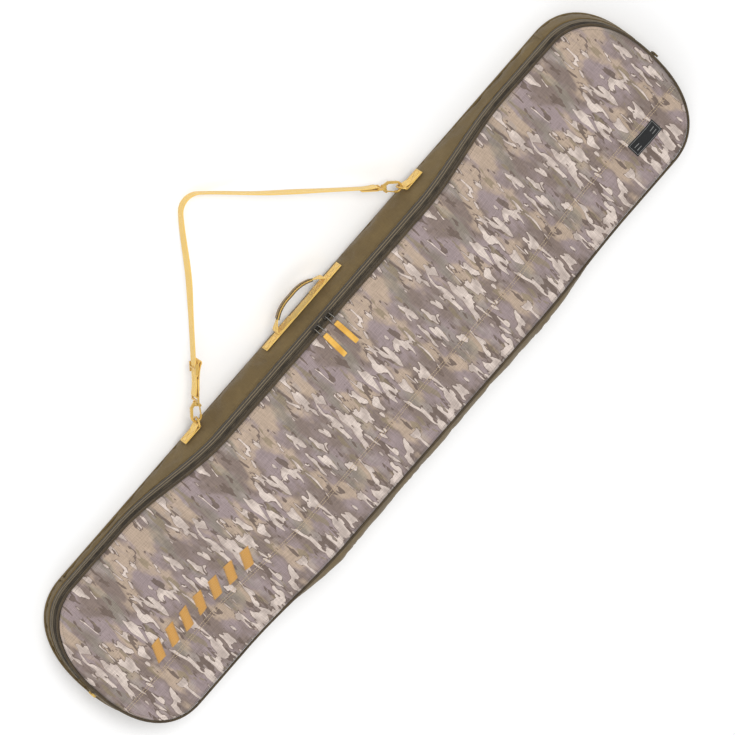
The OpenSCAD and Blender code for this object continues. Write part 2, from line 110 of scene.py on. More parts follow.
def front_z(x):
    """Height of the front panel's edge at x."""
    return mixed(x, DEPTH, DEPTH_TAIL, DEPTH_NOSE)


def front_w(x):
    """Half width of the front panel at x."""
    return mixed(x, FRONT_W, FRONT_W_TAIL, FRONT_W_NOSE)


def stations(side):
    """From the tail round one side to the nose: [straight x, share into the end, share of the width]."""
    a = np.radians(np.linspace(0, 90, 31))
    deep, wide = np.cos(a) ** PLAN_POWER, np.sin(a) ** PLAN_POWER
    deep[-1] = 0
    tail = joined(-STRAIGHT_X, -deep, wide)
    middle = joined(np.linspace(-STRAIGHT_X, STRAIGHT_X, 177)[1:-1], 0, 1)
    nose = (tail * [-1, -1, 1])[::-1]
    return np.concatenate([tail, middle, nose]) * [1, 1, side]


def top_z(st):
    return front_z(st[:, 0:1] + st[:, 1:2] * END_R)


def wall(st, z, out=0.0):
    """Points on the gusset's outer face, or out beyond it: a row of heights z at each station."""
    x, deep, wide = st[:, 0:1], st[:, 1:2], st[:, 2:3]
    top = top_z(st)
    t = np.clip((z - FOOT_Z) / (top - SHELL_T - FOOT_Z), 0, 1)
    handle_side = wide >= 0
    full = mixed(x, np.where(handle_side, 0.017, 0.031), 0.005, 0.006)
    half = BASE_W + (front_w(x) - BASE_W) * t + full * np.sin(math.pi * t ** np.where(handle_side, 0.66, 1.4))
    share = z / top
    end = END_R - SHORTER * share + 0.004 * np.sin(math.pi * share) + out
    return joined(x + deep * end, wide * (half + out), z)


def edge(st, out, z):
    """Points that follow the front panel's edge, out beyond it, at height z from its face."""
    x, deep, wide = st.T
    end = END_R - SHORTER + out
    return joined(x + deep * end, wide * (front_w(x) + out), top_z(st)[:, 0] + z)


def front_grid(inset, columns=44, end_rows=15, mid_rows=176):
    """Grid over the front panel's outline, from the tail to the nose, as x and y arrays."""
    v = np.linspace(-1, 1, columns + 1)
    x = np.linspace(-STRAIGHT_X, STRAIGHT_X, mid_rows + 1)
    mx = np.repeat(x[:, None], v.size, 1)
    my = v[None] * (front_w(x)[:, None] - inset)
    deep_max = END_R - SHORTER - inset

    def rim(a):
        """Point of the end's outline, at angle a from the bag's long axis, as shares of depth and width."""
        return np.cos(a) ** PLAN_POWER, np.sign(a) * np.abs(np.sin(a)) ** PLAN_POWER

    corner = math.radians(48)
    p = np.linspace(0, 1, end_rows + 1)[:, None]
    q = (v[None] + 1) / 2
    top_d, top_w = rim(v[None] * corner)
    side_d, side_w = rim(math.pi / 2 - p * (math.pi / 2 - corner))
    cd, cw = rim(np.array(corner))
    # patch between the straight end row, the two rounded sides and the rounded end
    deep = p * top_d + side_d - p * cd
    wide = (1 - p) * v[None] + p * top_w + (2 * q - 1) * side_w - (1 - p) * (2 * q - 1) - p * (2 * q - 1) * cw
    grids = []
    for half in (FRONT_W_TAIL, FRONT_W_NOSE):
        grids.append((STRAIGHT_X + deep * deep_max, wide * (half - inset)))
    (tx, ty), (nx, ny) = grids
    return np.concatenate([-tx[:0:-1], mx, nx[1:]]), np.concatenate([ty[:0:-1], my, ny[1:]])


def soft_noise(points, scale, seed):
    """Smooth noise at each point, about -1 to 1."""
    shift = Vector((seed * 7.3, seed * 3.1, seed * 5.7))
    flat = points.reshape(-1, 3)
    return np.array([noise.noise(Vector(p) * scale + shift) for p in flat]).reshape(points.shape[:-1])


# ---- Mesh making ----
@contextmanager
def edited(mesh):
    """The mesh opened for editing, and written back at the end."""
    bm = bmesh.new()
    bm.from_mesh(mesh)
    yield bm
    bm.to_mesh(mesh)
    bm.free()


def unit(v):
    return v / np.maximum(np.linalg.norm(v, axis=-1, keepdims=True), 1e-12)


def run_length(path):
    """Distance along a path at each of its points."""
    step = np.linalg.norm(np.diff(path, axis=0), axis=1)
    return np.concatenate([[0], np.cumsum(step)])


def at_lengths(path, at, values=None):
    """Points of the path, or of values given along it, at distances from its start."""
    s = run_length(path)
    return np.stack([np.interp(at, s, column) for column in (path if values is None else values).T], -1)


def resample(path, step):
    """The path with points about step apart."""
    path = np.asarray(path, float)
    length = run_length(path)[-1]
    return at_lengths(path, np.linspace(0, length, max(2, int(round(length / step)) + 1)))


def curve(points, step):
    """Smooth path through a few points, with points about step apart."""
    p = np.asarray(points, float)
    p = np.concatenate([[2 * p[0] - p[1]], p, [2 * p[-1] - p[-2]]])
    t = np.linspace(0, 1, 12, endpoint=False)[:, None]
    parts = []
    for i in range(1, len(p) - 2):
        a, b, c, d = p[i - 1:i + 3]
        bend, twist = 2 * a - 5 * b + 4 * c - d, 3 * b - a - 3 * c + d
        parts.append(0.5 * (2 * b + (c - a) * t + bend * t ** 2 + twist * t ** 3))
    return resample(np.concatenate(parts + [p[-2][None]]), step)


def grid_faces(rows, columns, close_rows, close_columns):
    """Quads over a grid of points; a closed way joins its last line to its first."""
    i = np.arange(rows if close_rows else rows - 1)[:, None]
    j = np.arange(columns if close_columns else columns - 1)[None]
    i2, j2 = (i + 1) % rows, (j + 1) % columns
    return joined(i * columns + j, i2 * columns + j, i2 * columns + j2, i * columns + j2).reshape(-1, 4).tolist()


class Mesh:
    """Gathers vertices with their weave coordinates, and faces, for one object."""

    def __init__(self):
        self.verts, self.weave, self.faces, self.count = [], [], [], 0

    def add(self, verts, faces, weave=None):
        verts = np.asarray(verts, float).reshape(-1, 3)
        self.verts.append(verts)
        self.weave.append(verts if weave is None else np.asarray(weave, float).reshape(-1, 3))
        self.faces += [[k + self.count for k in f] for f in faces]
        self.count += len(verts)

    def grid(self, points, weave=None, close_rows=False, close_columns=False, caps=False):
        rows, columns = points.shape[:2]
        faces = grid_faces(rows, columns, close_rows, close_columns)
        if caps:
            faces += [list(range(columns)), list(range((rows - 1) * columns, rows * columns))[::-1]]
        self.add(points, faces, weave)
        return self

    def ribbon(self, path, across, width, thick, columns=5):
        """Flat band along a path; across is the direction of its width."""
        path = np.asarray(path, float)
        tangent = unit(np.gradient(path, axis=0))
        across = np.broadcast_to(np.asarray(across, float), path.shape)
        normal = unit(np.cross(tangent, across))
        across = unit(np.cross(normal, tangent))
        width = np.broadcast_to(np.asarray(width, float), len(path))[:, None]
        share = np.linspace(-1, 1, columns)
        inner = share * (1 - min(0.2, thick * 0.4 / float(width.min())))
        a = np.concatenate([inner, [1.0], inner[::-1], [-1.0]])[None] / 2
        b = np.concatenate([np.full(columns, 0.5), [0], np.full(columns, -0.5), [0]])[None] * thick
        a = a * width
        points = path[:, None] + across[:, None] * a[..., None] + normal[:, None] * b[..., None]
        return self.grid(points, joined(run_length(path)[:, None], a, b), close_columns=True, caps=True)

    def tube(self, path, radius, sides=12, closed=False):
        """Round cord along a path."""
        path = np.asarray(path, float)
        tangent = unit(np.roll(path, -1, 0) - np.roll(path, 1, 0)) if closed else unit(np.gradient(path, axis=0))
        normal = np.zeros_like(path)
        first = np.cross(tangent[0], [0, 0, 1.0])
        if np.linalg.norm(first) < 0.2:
            first = np.cross(tangent[0], [0, 1.0, 0])
        normal[0] = unit(first)
        for i in range(1, len(path)):
            n = normal[i - 1] - tangent[i] * normal[i - 1].dot(tangent[i])
            normal[i] = unit(n)
        other = np.cross(tangent, normal)
        a = np.linspace(0, 2 * math.pi, sides, endpoint=False)
        radius = np.broadcast_to(np.asarray(radius, float), len(path))[:, None, None]
        ring = normal[:, None] * np.cos(a)[None, :, None] + other[:, None] * np.sin(a)[None, :, None]
        points = path[:, None] + radius * ring
        weave = joined(run_length(path)[:, None], (a * float(radius.mean()))[None], 0.0)
        return self.grid(points, weave, close_rows=closed, close_columns=True, caps=not closed)

    def box(self, centre, size, turn, bevel):
        """Box with rounded edges; turn is the matrix that places it."""
        bm = bmesh.new()
        bmesh.ops.create_cube(bm, size=1, matrix=Matrix.Diagonal((*size, 1)))
        bmesh.ops.bevel(bm, geom=bm.edges[:], offset=bevel, segments=2, affect="EDGES", profile=0.6)
        self.take(bm, turn @ Matrix.Translation(centre))

    def cylinder(self, centre, radius, length, bevel):
        """Cylinder along X with rounded rims."""
        bm = bmesh.new()
        bmesh.ops.create_cone(bm, cap_ends=True, segments=20, radius1=radius, radius2=radius, depth=length,
                              matrix=Matrix.Rotation(math.pi / 2, 4, "Y"))
        rims = [e for e in bm.edges if any(len(f.verts) > 4 for f in e.link_faces)]
        bmesh.ops.bevel(bm, geom=rims, offset=bevel, segments=2, affect="EDGES", profile=0.6)
        self.take(bm, Matrix.Translation(centre))

    def take(self, bm, matrix):
        bmesh.ops.transform(bm, matrix=matrix, verts=bm.verts)
        bm.verts.index_update()
        self.add([v.co[:] for v in bm.verts], [[v.index for v in f.verts] for f in bm.faces])
        bm.free()

    def stitches(self, path, up, pitch, length, radius, lift=0.0):
        """Row of sewn stitches along a path: pitch, length and radius are one stitch's, and its ends are sunk."""
        path = np.asarray(path, float)
        up = np.broadcast_to(np.asarray(up, float), path.shape)
        whole = run_length(path)[-1]
        count = max(1, int(whole / pitch))
        start = (whole - (count - 1) * pitch - length) / 2
        t = np.array([0, 0.12, 0.5, 0.88, 1.0])
        swell = np.array([0.35, 0.85, 1.0, 0.85, 0.35])
        rise = np.array([-0.9, 0.2, 0.75, 0.2, -0.9])
        a = np.linspace(0, 2 * math.pi, 5, endpoint=False)
        for k in range(count):
            at = start + k * pitch + t * length
            p = at_lengths(path, at)
            n = unit(at_lengths(path, at, up))
            side = unit(np.cross(unit(np.gradient(p, axis=0)), n))
            centre = p + n * (lift + radius * rise)[:, None]
            ring = centre[:, None] + radius * swell[:, None, None] * (
                side[:, None] * np.cos(a)[None, :, None] + n[:, None] * np.sin(a)[None, :, None])
            self.grid(ring, joined(at[:, None], (a * radius)[None], 0.0), close_columns=True, caps=True)

    def object(self, name, smooth=True, normals=True):
        mesh = bpy.data.meshes.new(name)
        verts = np.concatenate(self.verts)
        mesh.from_pydata(verts.tolist(), [], self.faces)
        layer = mesh.attributes.new("weave", "FLOAT_VECTOR", "POINT")
        layer.data.foreach_set("vector", np.concatenate(self.weave).astype(np.float32).ravel())
        mesh.polygons.foreach_set("use_smooth", [smooth] * len(mesh.polygons))
        mesh.update()
        obj = bpy.data.objects.new(name, mesh)
        bpy.context.scene.collection.objects.link(obj)
        if normals:
            with edited(mesh) as bm:
                bmesh.ops.recalc_face_normals(bm, faces=bm.faces)
        return obj


def coordinates(obj):
    co = np.empty(len(obj.data.vertices) * 3, np.float32)
    obj.data.vertices.foreach_get("co", co)
    return co.reshape(-1, 3).astype(float)


def apply_modifiers(obj):
    """Turns the object's mesh into what its modifiers make of it."""
    bpy.context.view_layer.update()
    graph = bpy.context.evaluated_depsgraph_get()
    shown = obj.evaluated_get(graph)
    mesh = bpy.data.meshes.new_from_object(shown, preserve_all_data_layers=True, depsgraph=graph)
    obj.modifiers.clear()
    obj.data = mesh
    return obj


def thicken(obj, thick):
    """Gives a sheet its thickness, on the side away from its normals."""
    mod = obj.modifiers.new("thick", "SOLIDIFY")
    mod.thickness, mod.offset = thick, -1
    return apply_modifiers(obj)


def crisp(obj, angle):
    """Smooth shading with sharp edges kept."""
    obj.data.set_sharp_from_angle(angle=math.radians(angle))
    return obj


def settle(obj, held, slack, pressure, cap, loose=1.0):
    """Cloth simulation: held is 1 where a sheet is sewn, slack its spare cloth, cap the most that a point moves."""
    frames = 20
    rest = coordinates(obj)
    group = obj.vertex_groups.new(name="held")
    for i, weight in enumerate(held):
        if weight > 0:
            group.add([i], float(weight), "REPLACE")
    mod = obj.modifiers.new("cloth", "CLOTH")
    for key, value in dict(
            quality=5, mass=0.4, tension_stiffness=20, compression_stiffness=20, shear_stiffness=8,
            bending_stiffness=1.5, tension_damping=10, compression_damping=10, shear_damping=10, bending_damping=2,
            air_damping=3, vertex_group_mass="held", shrink_min=-slack, shrink_max=-slack, use_pressure=True,
            uniform_pressure_force=pressure).items():
        setattr(mod.settings, key, value)
    mod.settings.effector_weights.gravity = 0
    mod.collision_settings.use_collision = False
    mod.point_cache.frame_start, mod.point_cache.frame_end = 1, frames
    scene = bpy.context.scene
    for number in range(1, frames + 1):
        scene.frame_set(number)
    shown = obj.evaluated_get(bpy.context.evaluated_depsgraph_get())
    moved = np.array([v.co[:] for v in shown.data.vertices])
    obj.modifiers.remove(mod)
    obj.vertex_groups.clear()
    scene.frame_set(1)
    move = moved - rest
    length = np.maximum(np.linalg.norm(move, axis=1, keepdims=True), 1e-9)
    move_to(obj, rest + move * (cap * np.tanh(length / cap) / length) * loose)


def move_to(obj, points):
    obj.data.vertices.foreach_set("co", points.astype(np.float32).ravel())
    obj.data.update()


# ---- Materials ----
def srgb(r, g, b):
    """Linear colour from a 0 to 255 colour."""
    return tuple(((c / 255 + 0.055) / 1.055) ** 2.4 if c > 10 else c / 3295 for c in (r, g, b)) + (1.0,)


class Graph:
    """A node material: a Principled shader and the nodes that feed it."""

    def __init__(self, name, roughness, **sockets):
        self.mat = bpy.data.materials.new(name)
        self.mat.use_nodes = True
        self.tree = self.mat.node_tree
        self.shader = self.tree.nodes["Principled BSDF"]
        self.shader.inputs["Roughness"].default_value = roughness
        for key, value in sockets.items():
            self.shader.inputs[key.replace("_", " ")].default_value = value

    def node(self, kind, inputs=None, out=0, **props):
        n = self.tree.nodes.new("ShaderNode" + kind)
        for key, value in props.items():
            setattr(n, key, value)
        for key, value in (inputs or {}).items():
            if isinstance(value, bpy.types.NodeSocket):
                self.tree.links.new(value, n.inputs[key])
            else:
                n.inputs[key].default_value = value
        return n.outputs[out]

    def math(self, operation, a, b=0.0, c=0.0):
        return self.node("Math", {0: a, 1: b, 2: c}, operation=operation)

    def times(self, a, b, plus=0.0):
        return self.math("MULTIPLY_ADD", a, b, plus)

    def shades(self, share, shade, colour):
        """From one 0 to 255 colour to another."""
        return self.mix(share, srgb(*shade), srgb(*colour))

    def scaled(self, vector, scale):
        return self.node("VectorMath", {0: vector, 1: scale}, operation="MULTIPLY")

    def noise(self, vector, scale, detail=2.0, rough=0.5, out="Fac"):
        return self.node("TexNoise", {"Vector": vector, "Scale": scale, "Detail": detail, "Roughness": rough}, out)

    def ramp(self, value, low, high, to_low=0.0, to_high=1.0):
        return self.node("MapRange", {"Value": value, "From Min": low, "From Max": high, "To Min": to_low,
                                      "To Max": to_high}, interpolation_type="SMOOTHSTEP")

    def mix(self, share, a, b, blend_type="MIX"):
        return self.node("Mix", {0: share, 6: a, 7: b}, 2, data_type="RGBA", blend_type=blend_type)

    def layer(self, under, value, low, high, share, colour):
        """A colour laid over another where a value rises from low to high."""
        return self.mix(self.times(self.ramp(value, low, high), share), under, srgb(*colour))

    def weave(self):
        """Weave coordinates, and the first two by themselves: along the cloth and across it."""
        v = self.node("Attribute", out="Vector", attribute_name="weave")
        return v, *(self.node("SeparateXYZ", {0: v}, k) for k in range(2))

    def wave(self, value, pitch):
        """Sine of a length, 0 to 1, once in each pitch."""
        s = self.math("SINE", self.times(value, 2 * math.pi / pitch))
        return self.times(s, 0.5, 0.5)

    def finish(self, colour, height, depth, strength, roughness=None):
        """Links the colour, the bump from the height, and the roughness where it varies, and gives the material."""
        bump = self.node("Bump", {"Height": height, "Distance": depth, "Strength": strength})
        for name, socket in (("Base Color", colour), ("Roughness", roughness), ("Normal", bump)):
            if socket:
                self.tree.links.new(socket, self.shader.inputs[name])
        return self.mat


def plain_cloth(name, colour, shade, pitch, roughness, sheen, mottle=14.0):
    """Plain woven cloth: crossing yarns with slubs, and a slow change of colour."""
    g = Graph(name, roughness, Sheen_Weight=sheen, Sheen_Roughness=0.4)
    vec, along, across = g.weave()
    warp, weft = g.wave(along, pitch), g.wave(across, pitch)
    slub_a = g.noise(g.scaled(vec, (60, 1400, 60)), 1.0, 1)
    slub_b = g.noise(g.scaled(vec, (1400, 60, 60)), 1.0, 1)
    yarns = g.math("MAXIMUM", g.times(warp, slub_a), g.times(weft, slub_b))
    slow = g.ramp(g.noise(vec, mottle, 3, 0.6), 0.35, 0.65)
    fine = g.ramp(g.math("ADD", slub_a, slub_b), 0.75, 1.25)
    tone = g.times(slow, 0.45, g.times(fine, 0.55))
    return g.finish(g.shades(tone, shade, colour), yarns, 0.0003, 0.7)


def camo_cloth():
    """Printed cloth: a muted blotch print that repeats along the bag, on a linen-like weave."""
    g = Graph("camo_print", 0.82, Sheen_Weight=0.2, Sheen_Roughness=0.45)
    vec, along, across = g.weave()
    repeat = 0.330
    turn = g.times(along, 2 * math.pi / repeat)
    radius = repeat / (2 * math.pi)
    ring = (g.times(g.math("COSINE", turn), radius), g.times(g.math("SINE", turn), radius))

    def placed(stretch, shift):
        """Coordinates that repeat along the bag, stretched across it."""
        y = g.times(across, stretch, shift)
        return g.node("CombineXYZ", {0: ring[0], 1: ring[1], 2: y})

    def torn(at, scale, amount):
        """The same coordinates with ragged shifts, which give the print its flame-like edges."""
        push = g.node("VectorMath", {0: g.noise(at, scale, 1, 0.4, "Color"), 1: (0.5,) * 3}, operation="SUBTRACT")
        return g.node("VectorMath", {0: at, 1: g.scaled(push, (amount,) * 3)}, operation="ADD")

    base = placed(0.45, 0.0)
    # soft ground: mauve to grey-taupe, sand towards the zip, grey-green bands
    ground = g.shades(g.ramp(g.noise(base, 26, 3, 0.5), 0.40, 0.60), (128, 112, 104), (152, 136, 136))
    zipward = g.ramp(across, -0.02, 0.13)
    sand_at = g.math("ADD", g.noise(placed(0.4, 1.7), 22, 3, 0.5), g.times(zipward, 0.09))
    ground = g.layer(ground, sand_at, 0.54, 0.64, 0.9, (181, 160, 140))
    green_at = g.noise(placed(0.22, 3.1), 27, 3, 0.5)
    ground = g.layer(ground, green_at, 0.56, 0.66, 0.5, (140, 135, 121))
    pale_at = g.noise(placed(0.5, 5.3), 34, 2, 0.5)
    ground = g.layer(ground, pale_at, 0.58, 0.70, 0.5, (170, 158, 152))
    # dark taupe flecks with hard edges
    dark_at = g.noise(torn(placed(0.30, 7.7), 90, 0.008), 72, 2, 0.5)
    ground = g.layer(ground, dark_at, 0.612, 0.620, 0.9, (106, 90, 81))
    olive_at = g.noise(torn(placed(0.26, 9.2), 90, 0.008), 66, 2, 0.5)
    ground = g.layer(ground, olive_at, 0.630, 0.642, 0.7, (136, 122, 98))
    # cream flames with a dark outline, in the middle and on the hinge side
    flame = g.noise(torn(placed(0.26, 0.4), 80, 0.017), 80, 1.4, 0.4)
    band_a = g.times(g.ramp(across, -0.115, -0.03), g.ramp(across, 0.085, 0.02))
    band_b = g.ramp(across, -0.105, -0.135)
    patchy = g.times(g.math("SUBTRACT", g.noise(placed(0.6, 11.0), 22, 1), 0.5), 0.30)
    favour = g.times(g.math("MAXIMUM", band_a, band_b), 0.105, -0.080)
    flame = g.math("ADD", flame, g.math("ADD", favour, patchy))
    inked = g.layer(ground, flame, 0.534, 0.544, 0.9, (110, 94, 85))
    cream = g.shades(g.ramp(g.noise(base, 60, 2), 0.35, 0.62), (184, 169, 160), (214, 199, 189))
    printed = g.mix(g.ramp(flame, 0.562, 0.569), inked, cream)
    # linen: fine yarns both ways, seen as faint light and dark lines
    thread_a = g.noise(g.scaled(vec, (28, 560, 1)), 1.0, 3, 0.75)
    thread_b = g.noise(g.scaled(vec, (560, 28, 1)), 1.0, 3, 0.75)
    linen = g.ramp(g.math("ADD", thread_a, thread_b), 0.72, 1.28, 0.78, 1.20)
    shade = g.node("CombineColor", {0: linen, 1: linen, 2: linen})
    colour = g.mix(1.0, printed, shade, "MULTIPLY")
    yarns = g.math("MAXIMUM", g.times(g.wave(along, 0.0011), thread_b),
                   g.times(g.wave(across, 0.0011), thread_a))
    return g.finish(colour, yarns, 0.0004, 0.7)


def ribbed_cloth(name, colour, shade, pitch, along_ribs=True):
    """Narrow woven tape: ribs along or across it, with a fine weave."""
    g = Graph(name, 0.75, Sheen_Weight=0.2)
    vec, along, across = g.weave()
    ribs = g.wave(across if along_ribs else along, pitch)
    fine = g.wave(along if along_ribs else across, 0.0011)
    fleck = g.noise(g.scaled(vec, (300, 900, 300)), 1.0, 2)
    height = g.times(fine, 0.35, ribs)
    # painted shade: the colour is darker in the grooves between the ribs, on top of the random fleck
    tone = g.ramp(g.times(fleck, 0.6, g.times(ribs, 0.5)), 0.2, 0.8)
    return g.finish(g.shades(tone, shade, colour), height, 0.0004, 0.8)


def webbing_cloth(name, colour, shade):
    """Strap webbing: twill ribs slanting from the middle to both edges."""
    g = Graph(name, 0.62, Sheen_Weight=0.3, Sheen_Roughness=0.35)
    vec, along, across = g.weave()
    twill = g.wave(g.math("ADD", g.math("ABSOLUTE", across), along), 0.0022)
    yarn = g.wave(across, 0.0012)
    fleck = g.noise(g.scaled(vec, (500, 900, 500)), 1.0, 2)
    soiled = g.ramp(g.noise(vec, 22, 3, 0.6), 0.42, 0.75)
    height = g.times(g.times(yarn, 0.4, 0.6), twill)
    # painted shade: the colour follows the twill's height and is darker in its grooves, on top of the random fleck
    tone = g.times(fleck, 0.5, g.times(height, 0.55))
    dyed = g.shades(tone, shade, colour)
    worn = g.mix(g.times(soiled, 0.08), dyed, srgb(206, 166, 100))
    return g.finish(worn, height, 0.0005, 0.8)


def thread(name, colour, shade):
    """Sewing or embroidery thread: strands twisted round its length."""
    g = Graph(name, 0.5, Sheen_Weight=0.4)
    vec, along, across = g.weave()
    strands = g.wave(g.math("ADD", along, across), 0.0009)
    fleck = g.noise(vec, 400, 2)
    # painted shade: the colour is darker between the strands, on top of the random fleck
    return g.finish(g.shades(g.times(g.math("ADD", strands, fleck), 0.5), shade, colour), strands, 0.0002, 0.7)


def painted_metal(name, colour, worn, roughness, metallic):
    """Painted cast metal: orange-peel, scuffs and thin worn paint."""
    g = Graph(name, roughness, Metallic=metallic, Coat_Weight=0.35, Coat_Roughness=0.2)
    at = g.node("TexCoord", out=3)
    peel = g.noise(at, 700, 2)
    scuff = g.ramp(g.noise(g.scaled(at, (300, 900, 500)), 1.0, 4, 0.7), 0.62, 0.74)
    cloud = g.noise(at, 60, 2)
    base = g.mix(g.ramp(cloud, 0.3, 0.7), srgb(*[c * 0.9 for c in colour]), srgb(*colour))
    rough = g.times(scuff, 0.2, roughness)
    return g.finish(g.mix(g.times(scuff, 0.5), base, srgb(*worn)), peel, 0.0001, 0.35, rough)


def steel_wire():
    g = Graph("bright_wire", 0.28, Metallic=1.0)
    at = g.node("TexCoord", out=3)
    drawn = g.noise(g.scaled(at, (900, 200, 900)), 1.0, 3)
    colour = g.mix(drawn, srgb(120, 119, 116), srgb(180, 179, 175))
    return g.finish(colour, drawn, 0.00005, 0.3, g.ramp(drawn, 0.3, 0.7, 0.2, 0.36))


def moulded(name, colour, shade):
    """Moulded soft plastic with a fine spark texture."""
    g = Graph(name, 0.5, Specular_IOR_Level=0.4)
    at = g.node("TexCoord", out=3)
    grain = g.noise(at, 1600, 3, 0.6)
    cloud = g.noise(at, 40, 2)
    rough = g.ramp(grain, 0.3, 0.7, 0.42, 0.6)
    return g.finish(g.shades(g.ramp(cloud, 0.35, 0.65), shade, colour), grain, 0.0002, 0.5, rough)


def floor_paper():
    g = Graph("floor_paper", 0.95, Emission_Strength=0.12)
    at = g.node("TexCoord", out=3)
    colour = g.mix(g.noise(at, 3, 3), (0.86, 0.86, 0.86, 1), (0.89, 0.89, 0.89, 1))
    return g.finish(colour, g.noise(at, 400, 2), 0.0002, 0.2)


camo = camo_cloth()
olive = plain_cloth("olive_cloth", (116, 97, 60), (97, 80, 49), 0.0010, 0.85, 0.15)
back_cloth = plain_cloth("back_cloth", (112, 97, 68), (92, 79, 55), 0.0014, 0.9, 0.2)
band_cloth = ribbed_cloth("band_cloth", (90, 77, 57), (68, 57, 42), 0.0013)
piping_cloth = plain_cloth("piping_cloth", (84, 70, 48), (58, 47, 32), 0.0010, 0.85, 0.2, 40.0)
tape_cloth = ribbed_cloth("tape_cloth", (76, 67, 54), (50, 44, 36), 0.0016)
rib_cloth = ribbed_cloth("rib_cloth", (146, 129, 100), (116, 102, 78), 0.0016, False)
coil_plastic = moulded("coil_plastic", (92, 82, 66), (60, 53, 43))
slider_paint = painted_metal("slider_paint", (54, 47, 37), (110, 100, 84), 0.38, 0.4)
wire_metal = steel_wire()
pull_plastic = moulded("pull_plastic", (232, 184, 88), (214, 162, 66))
yellow_web = webbing_cloth("yellow_webbing", (253, 220, 126), (240, 192, 92))
grip_cloth = plain_cloth("grip_cloth", (112, 96, 62), (82, 69, 44), 0.0011, 0.85, 0.25, 60.0)
gold_paint = painted_metal("gold_paint", (226, 184, 92), (196, 176, 140), 0.34, 0.35)
lining_cloth = plain_cloth("lining_cloth", (74, 66, 56), (54, 48, 41), 0.0008, 0.85, 0.05)
label_cloth = ribbed_cloth("label_cloth", (15, 15, 18), (7, 7, 9), 0.0008, False)
label_mark = ribbed_cloth("label_mark", (150, 150, 148), (112, 112, 110), 0.0008, False)
gold_thread = thread("gold_thread", (226, 174, 88), (198, 142, 60))
tan_thread = thread("tan_thread", (216, 194, 160), (182, 158, 124))
brown_thread = thread("brown_thread", (206, 152, 74), (170, 122, 54))
olive_thread = thread("olive_thread", (132, 114, 76), (98, 84, 54))
dark_thread = thread("dark_thread", (92, 80, 62), (66, 56, 42))


def place(obj, body, mat, stands_for=()):
    """Gives a piece its material, the body that it rides on, and the CAD nodes that it stands for."""
    obj.data.materials.clear()
    obj.data.materials.append(mat)
    if stands_for:
        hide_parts(*stands_for)
    if body:
        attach(obj, body)
    return obj


# ---- Camera, light and floor ----
def camera():
    """Looks down at the front panel from the handle side, turned so that the nose points up and right."""
    tip, aside, roll = math.radians(27), math.radians(4), math.radians(49)
    back = Vector((-math.sin(aside), math.sin(tip) * math.cos(aside), math.cos(tip) * math.cos(aside)))
    level = (Vector((1, 0, 0)) - back * back.x).normalized()
    rise = back.cross(level)
    right = level * math.cos(roll) - rise * math.sin(roll)
    up = level * math.sin(roll) + rise * math.cos(roll)
    distance = 18
    data = bpy.data.cameras.new("camera")
    data.lens, data.sensor_width = 453, 36
    data.clip_end = 100
    obj = bpy.data.objects.new("camera", data)
    aim = right * 0.0113 - up * 0.0058
    obj.matrix_world = Matrix.Translation(aim + back * distance) @ Matrix((right, up, back)).transposed().to_4x4()
    bpy.context.scene.collection.objects.link(obj)
    bpy.context.scene.camera = obj


camera()


def area_light(name, at, size, power):
    data = bpy.data.lights.new(name, "AREA")
    data.shape, data.size, data.energy = "DISK", size, power
    obj = bpy.data.objects.new(name, data)
    obj.matrix_world = Matrix.Translation(at) @ (-Vector(at)).to_track_quat("-Z", "Y").to_matrix().to_4x4()
    bpy.context.scene.collection.objects.link(obj)


area_light("key", (0.6, 1.6, 3.6), 2.2, 66)
area_light("fill", (-2.6, -0.6, 3.0), 2.6, 22)

world = bpy.data.worlds.new("studio")
world.use_nodes = True
world.node_tree.nodes["Background"].inputs[0].default_value = (1, 1, 1, 1)
world.node_tree.nodes["Background"].inputs[1].default_value = 0.70
bpy.context.scene.world = world
bpy.context.scene.view_settings.view_transform = "Standard"

steps = np.linspace(-7, 7, 9)
floor = Mesh().grid(joined(steps[:, None], steps[None], -0.0003)).object("floor", normals=False)
if floor.data.polygons[0].normal.z < 0:
    floor.data.flip_normals()
floor.data.materials.append(floor_paper())


# ---- Gusset: one shell of cloth and foam ----
zip_side, hinge_side = stations(1), stations(-1)
round_trip = np.concatenate([zip_side, hinge_side[-2:0:-1]])
FOLD = ZIP_ZONE - 0.001


def heights(st, low, drop, rows):
    """Rows of heights at each station, from low up to drop below the front panel."""
    return low + (top_z(st) - drop - low) * np.linspace(0, 1, rows)[None]


def along_wall(st):
    """Distance round the bag at each station, as a column."""
    return run_length(wall(st, top_z(st) * 0.5)[:, 0])[:, None]


def gusset_shell():
    """The whole gusset: a closed band round the bag, and an upper band where there is no zip."""
    shell = Mesh()
    lower = wall(round_trip, heights(round_trip, 0.001, FOLD, 13))
    s = along_wall(round_trip)
    shell.grid(lower, joined(s, lower[..., 2], 0.0), close_rows=True)
    upper_st = np.concatenate([zip_side[-1:], hinge_side[-2:0:-1], zip_side[:1]])
    upper = wall(upper_st, top_z(upper_st) - np.linspace(FOLD, 0.002, 6)[None])
    s = np.append(s[len(zip_side) - 1:], s[-1] + 0.008)[:, None]
    shell.grid(upper, joined(s, upper[..., 2], 0.0))
    obj = shell.object("gusset_shell", normals=False)
    with edited(obj.data) as bm:
        bmesh.ops.remove_doubles(bm, verts=bm.verts, dist=1e-5)
        bmesh.ops.recalc_face_normals(bm, faces=bm.faces)
        held = np.array([1.0 if v.is_boundary else 0.0 for v in bm.verts])
    face = obj.data.polygons[len(obj.data.polygons) // 3]
    if face.normal.dot(face.center) < 0:
        obj.data.flip_normals()
    # the webbing's stitching holds the cloth down
    sewn = under_webbing(coordinates(obj))
    settle(obj, np.maximum(held, 0.96 * sewn), 0.012, 1.2, 0.005, (1 - sewn)[:, None])
    dent(obj)
    thicken(obj, SHELL_T + FOAM_T)
    p = coordinates(obj)
    p[:, 2] = np.maximum(p[:, 2], 0.0003)
    move_to(obj, p)
    return place(obj, "bag", olive, (
        "gusset_handle_side", "gusset_hinge_side", "gusset_tail_end", "gusset_nose_end", "gusset_padding"))


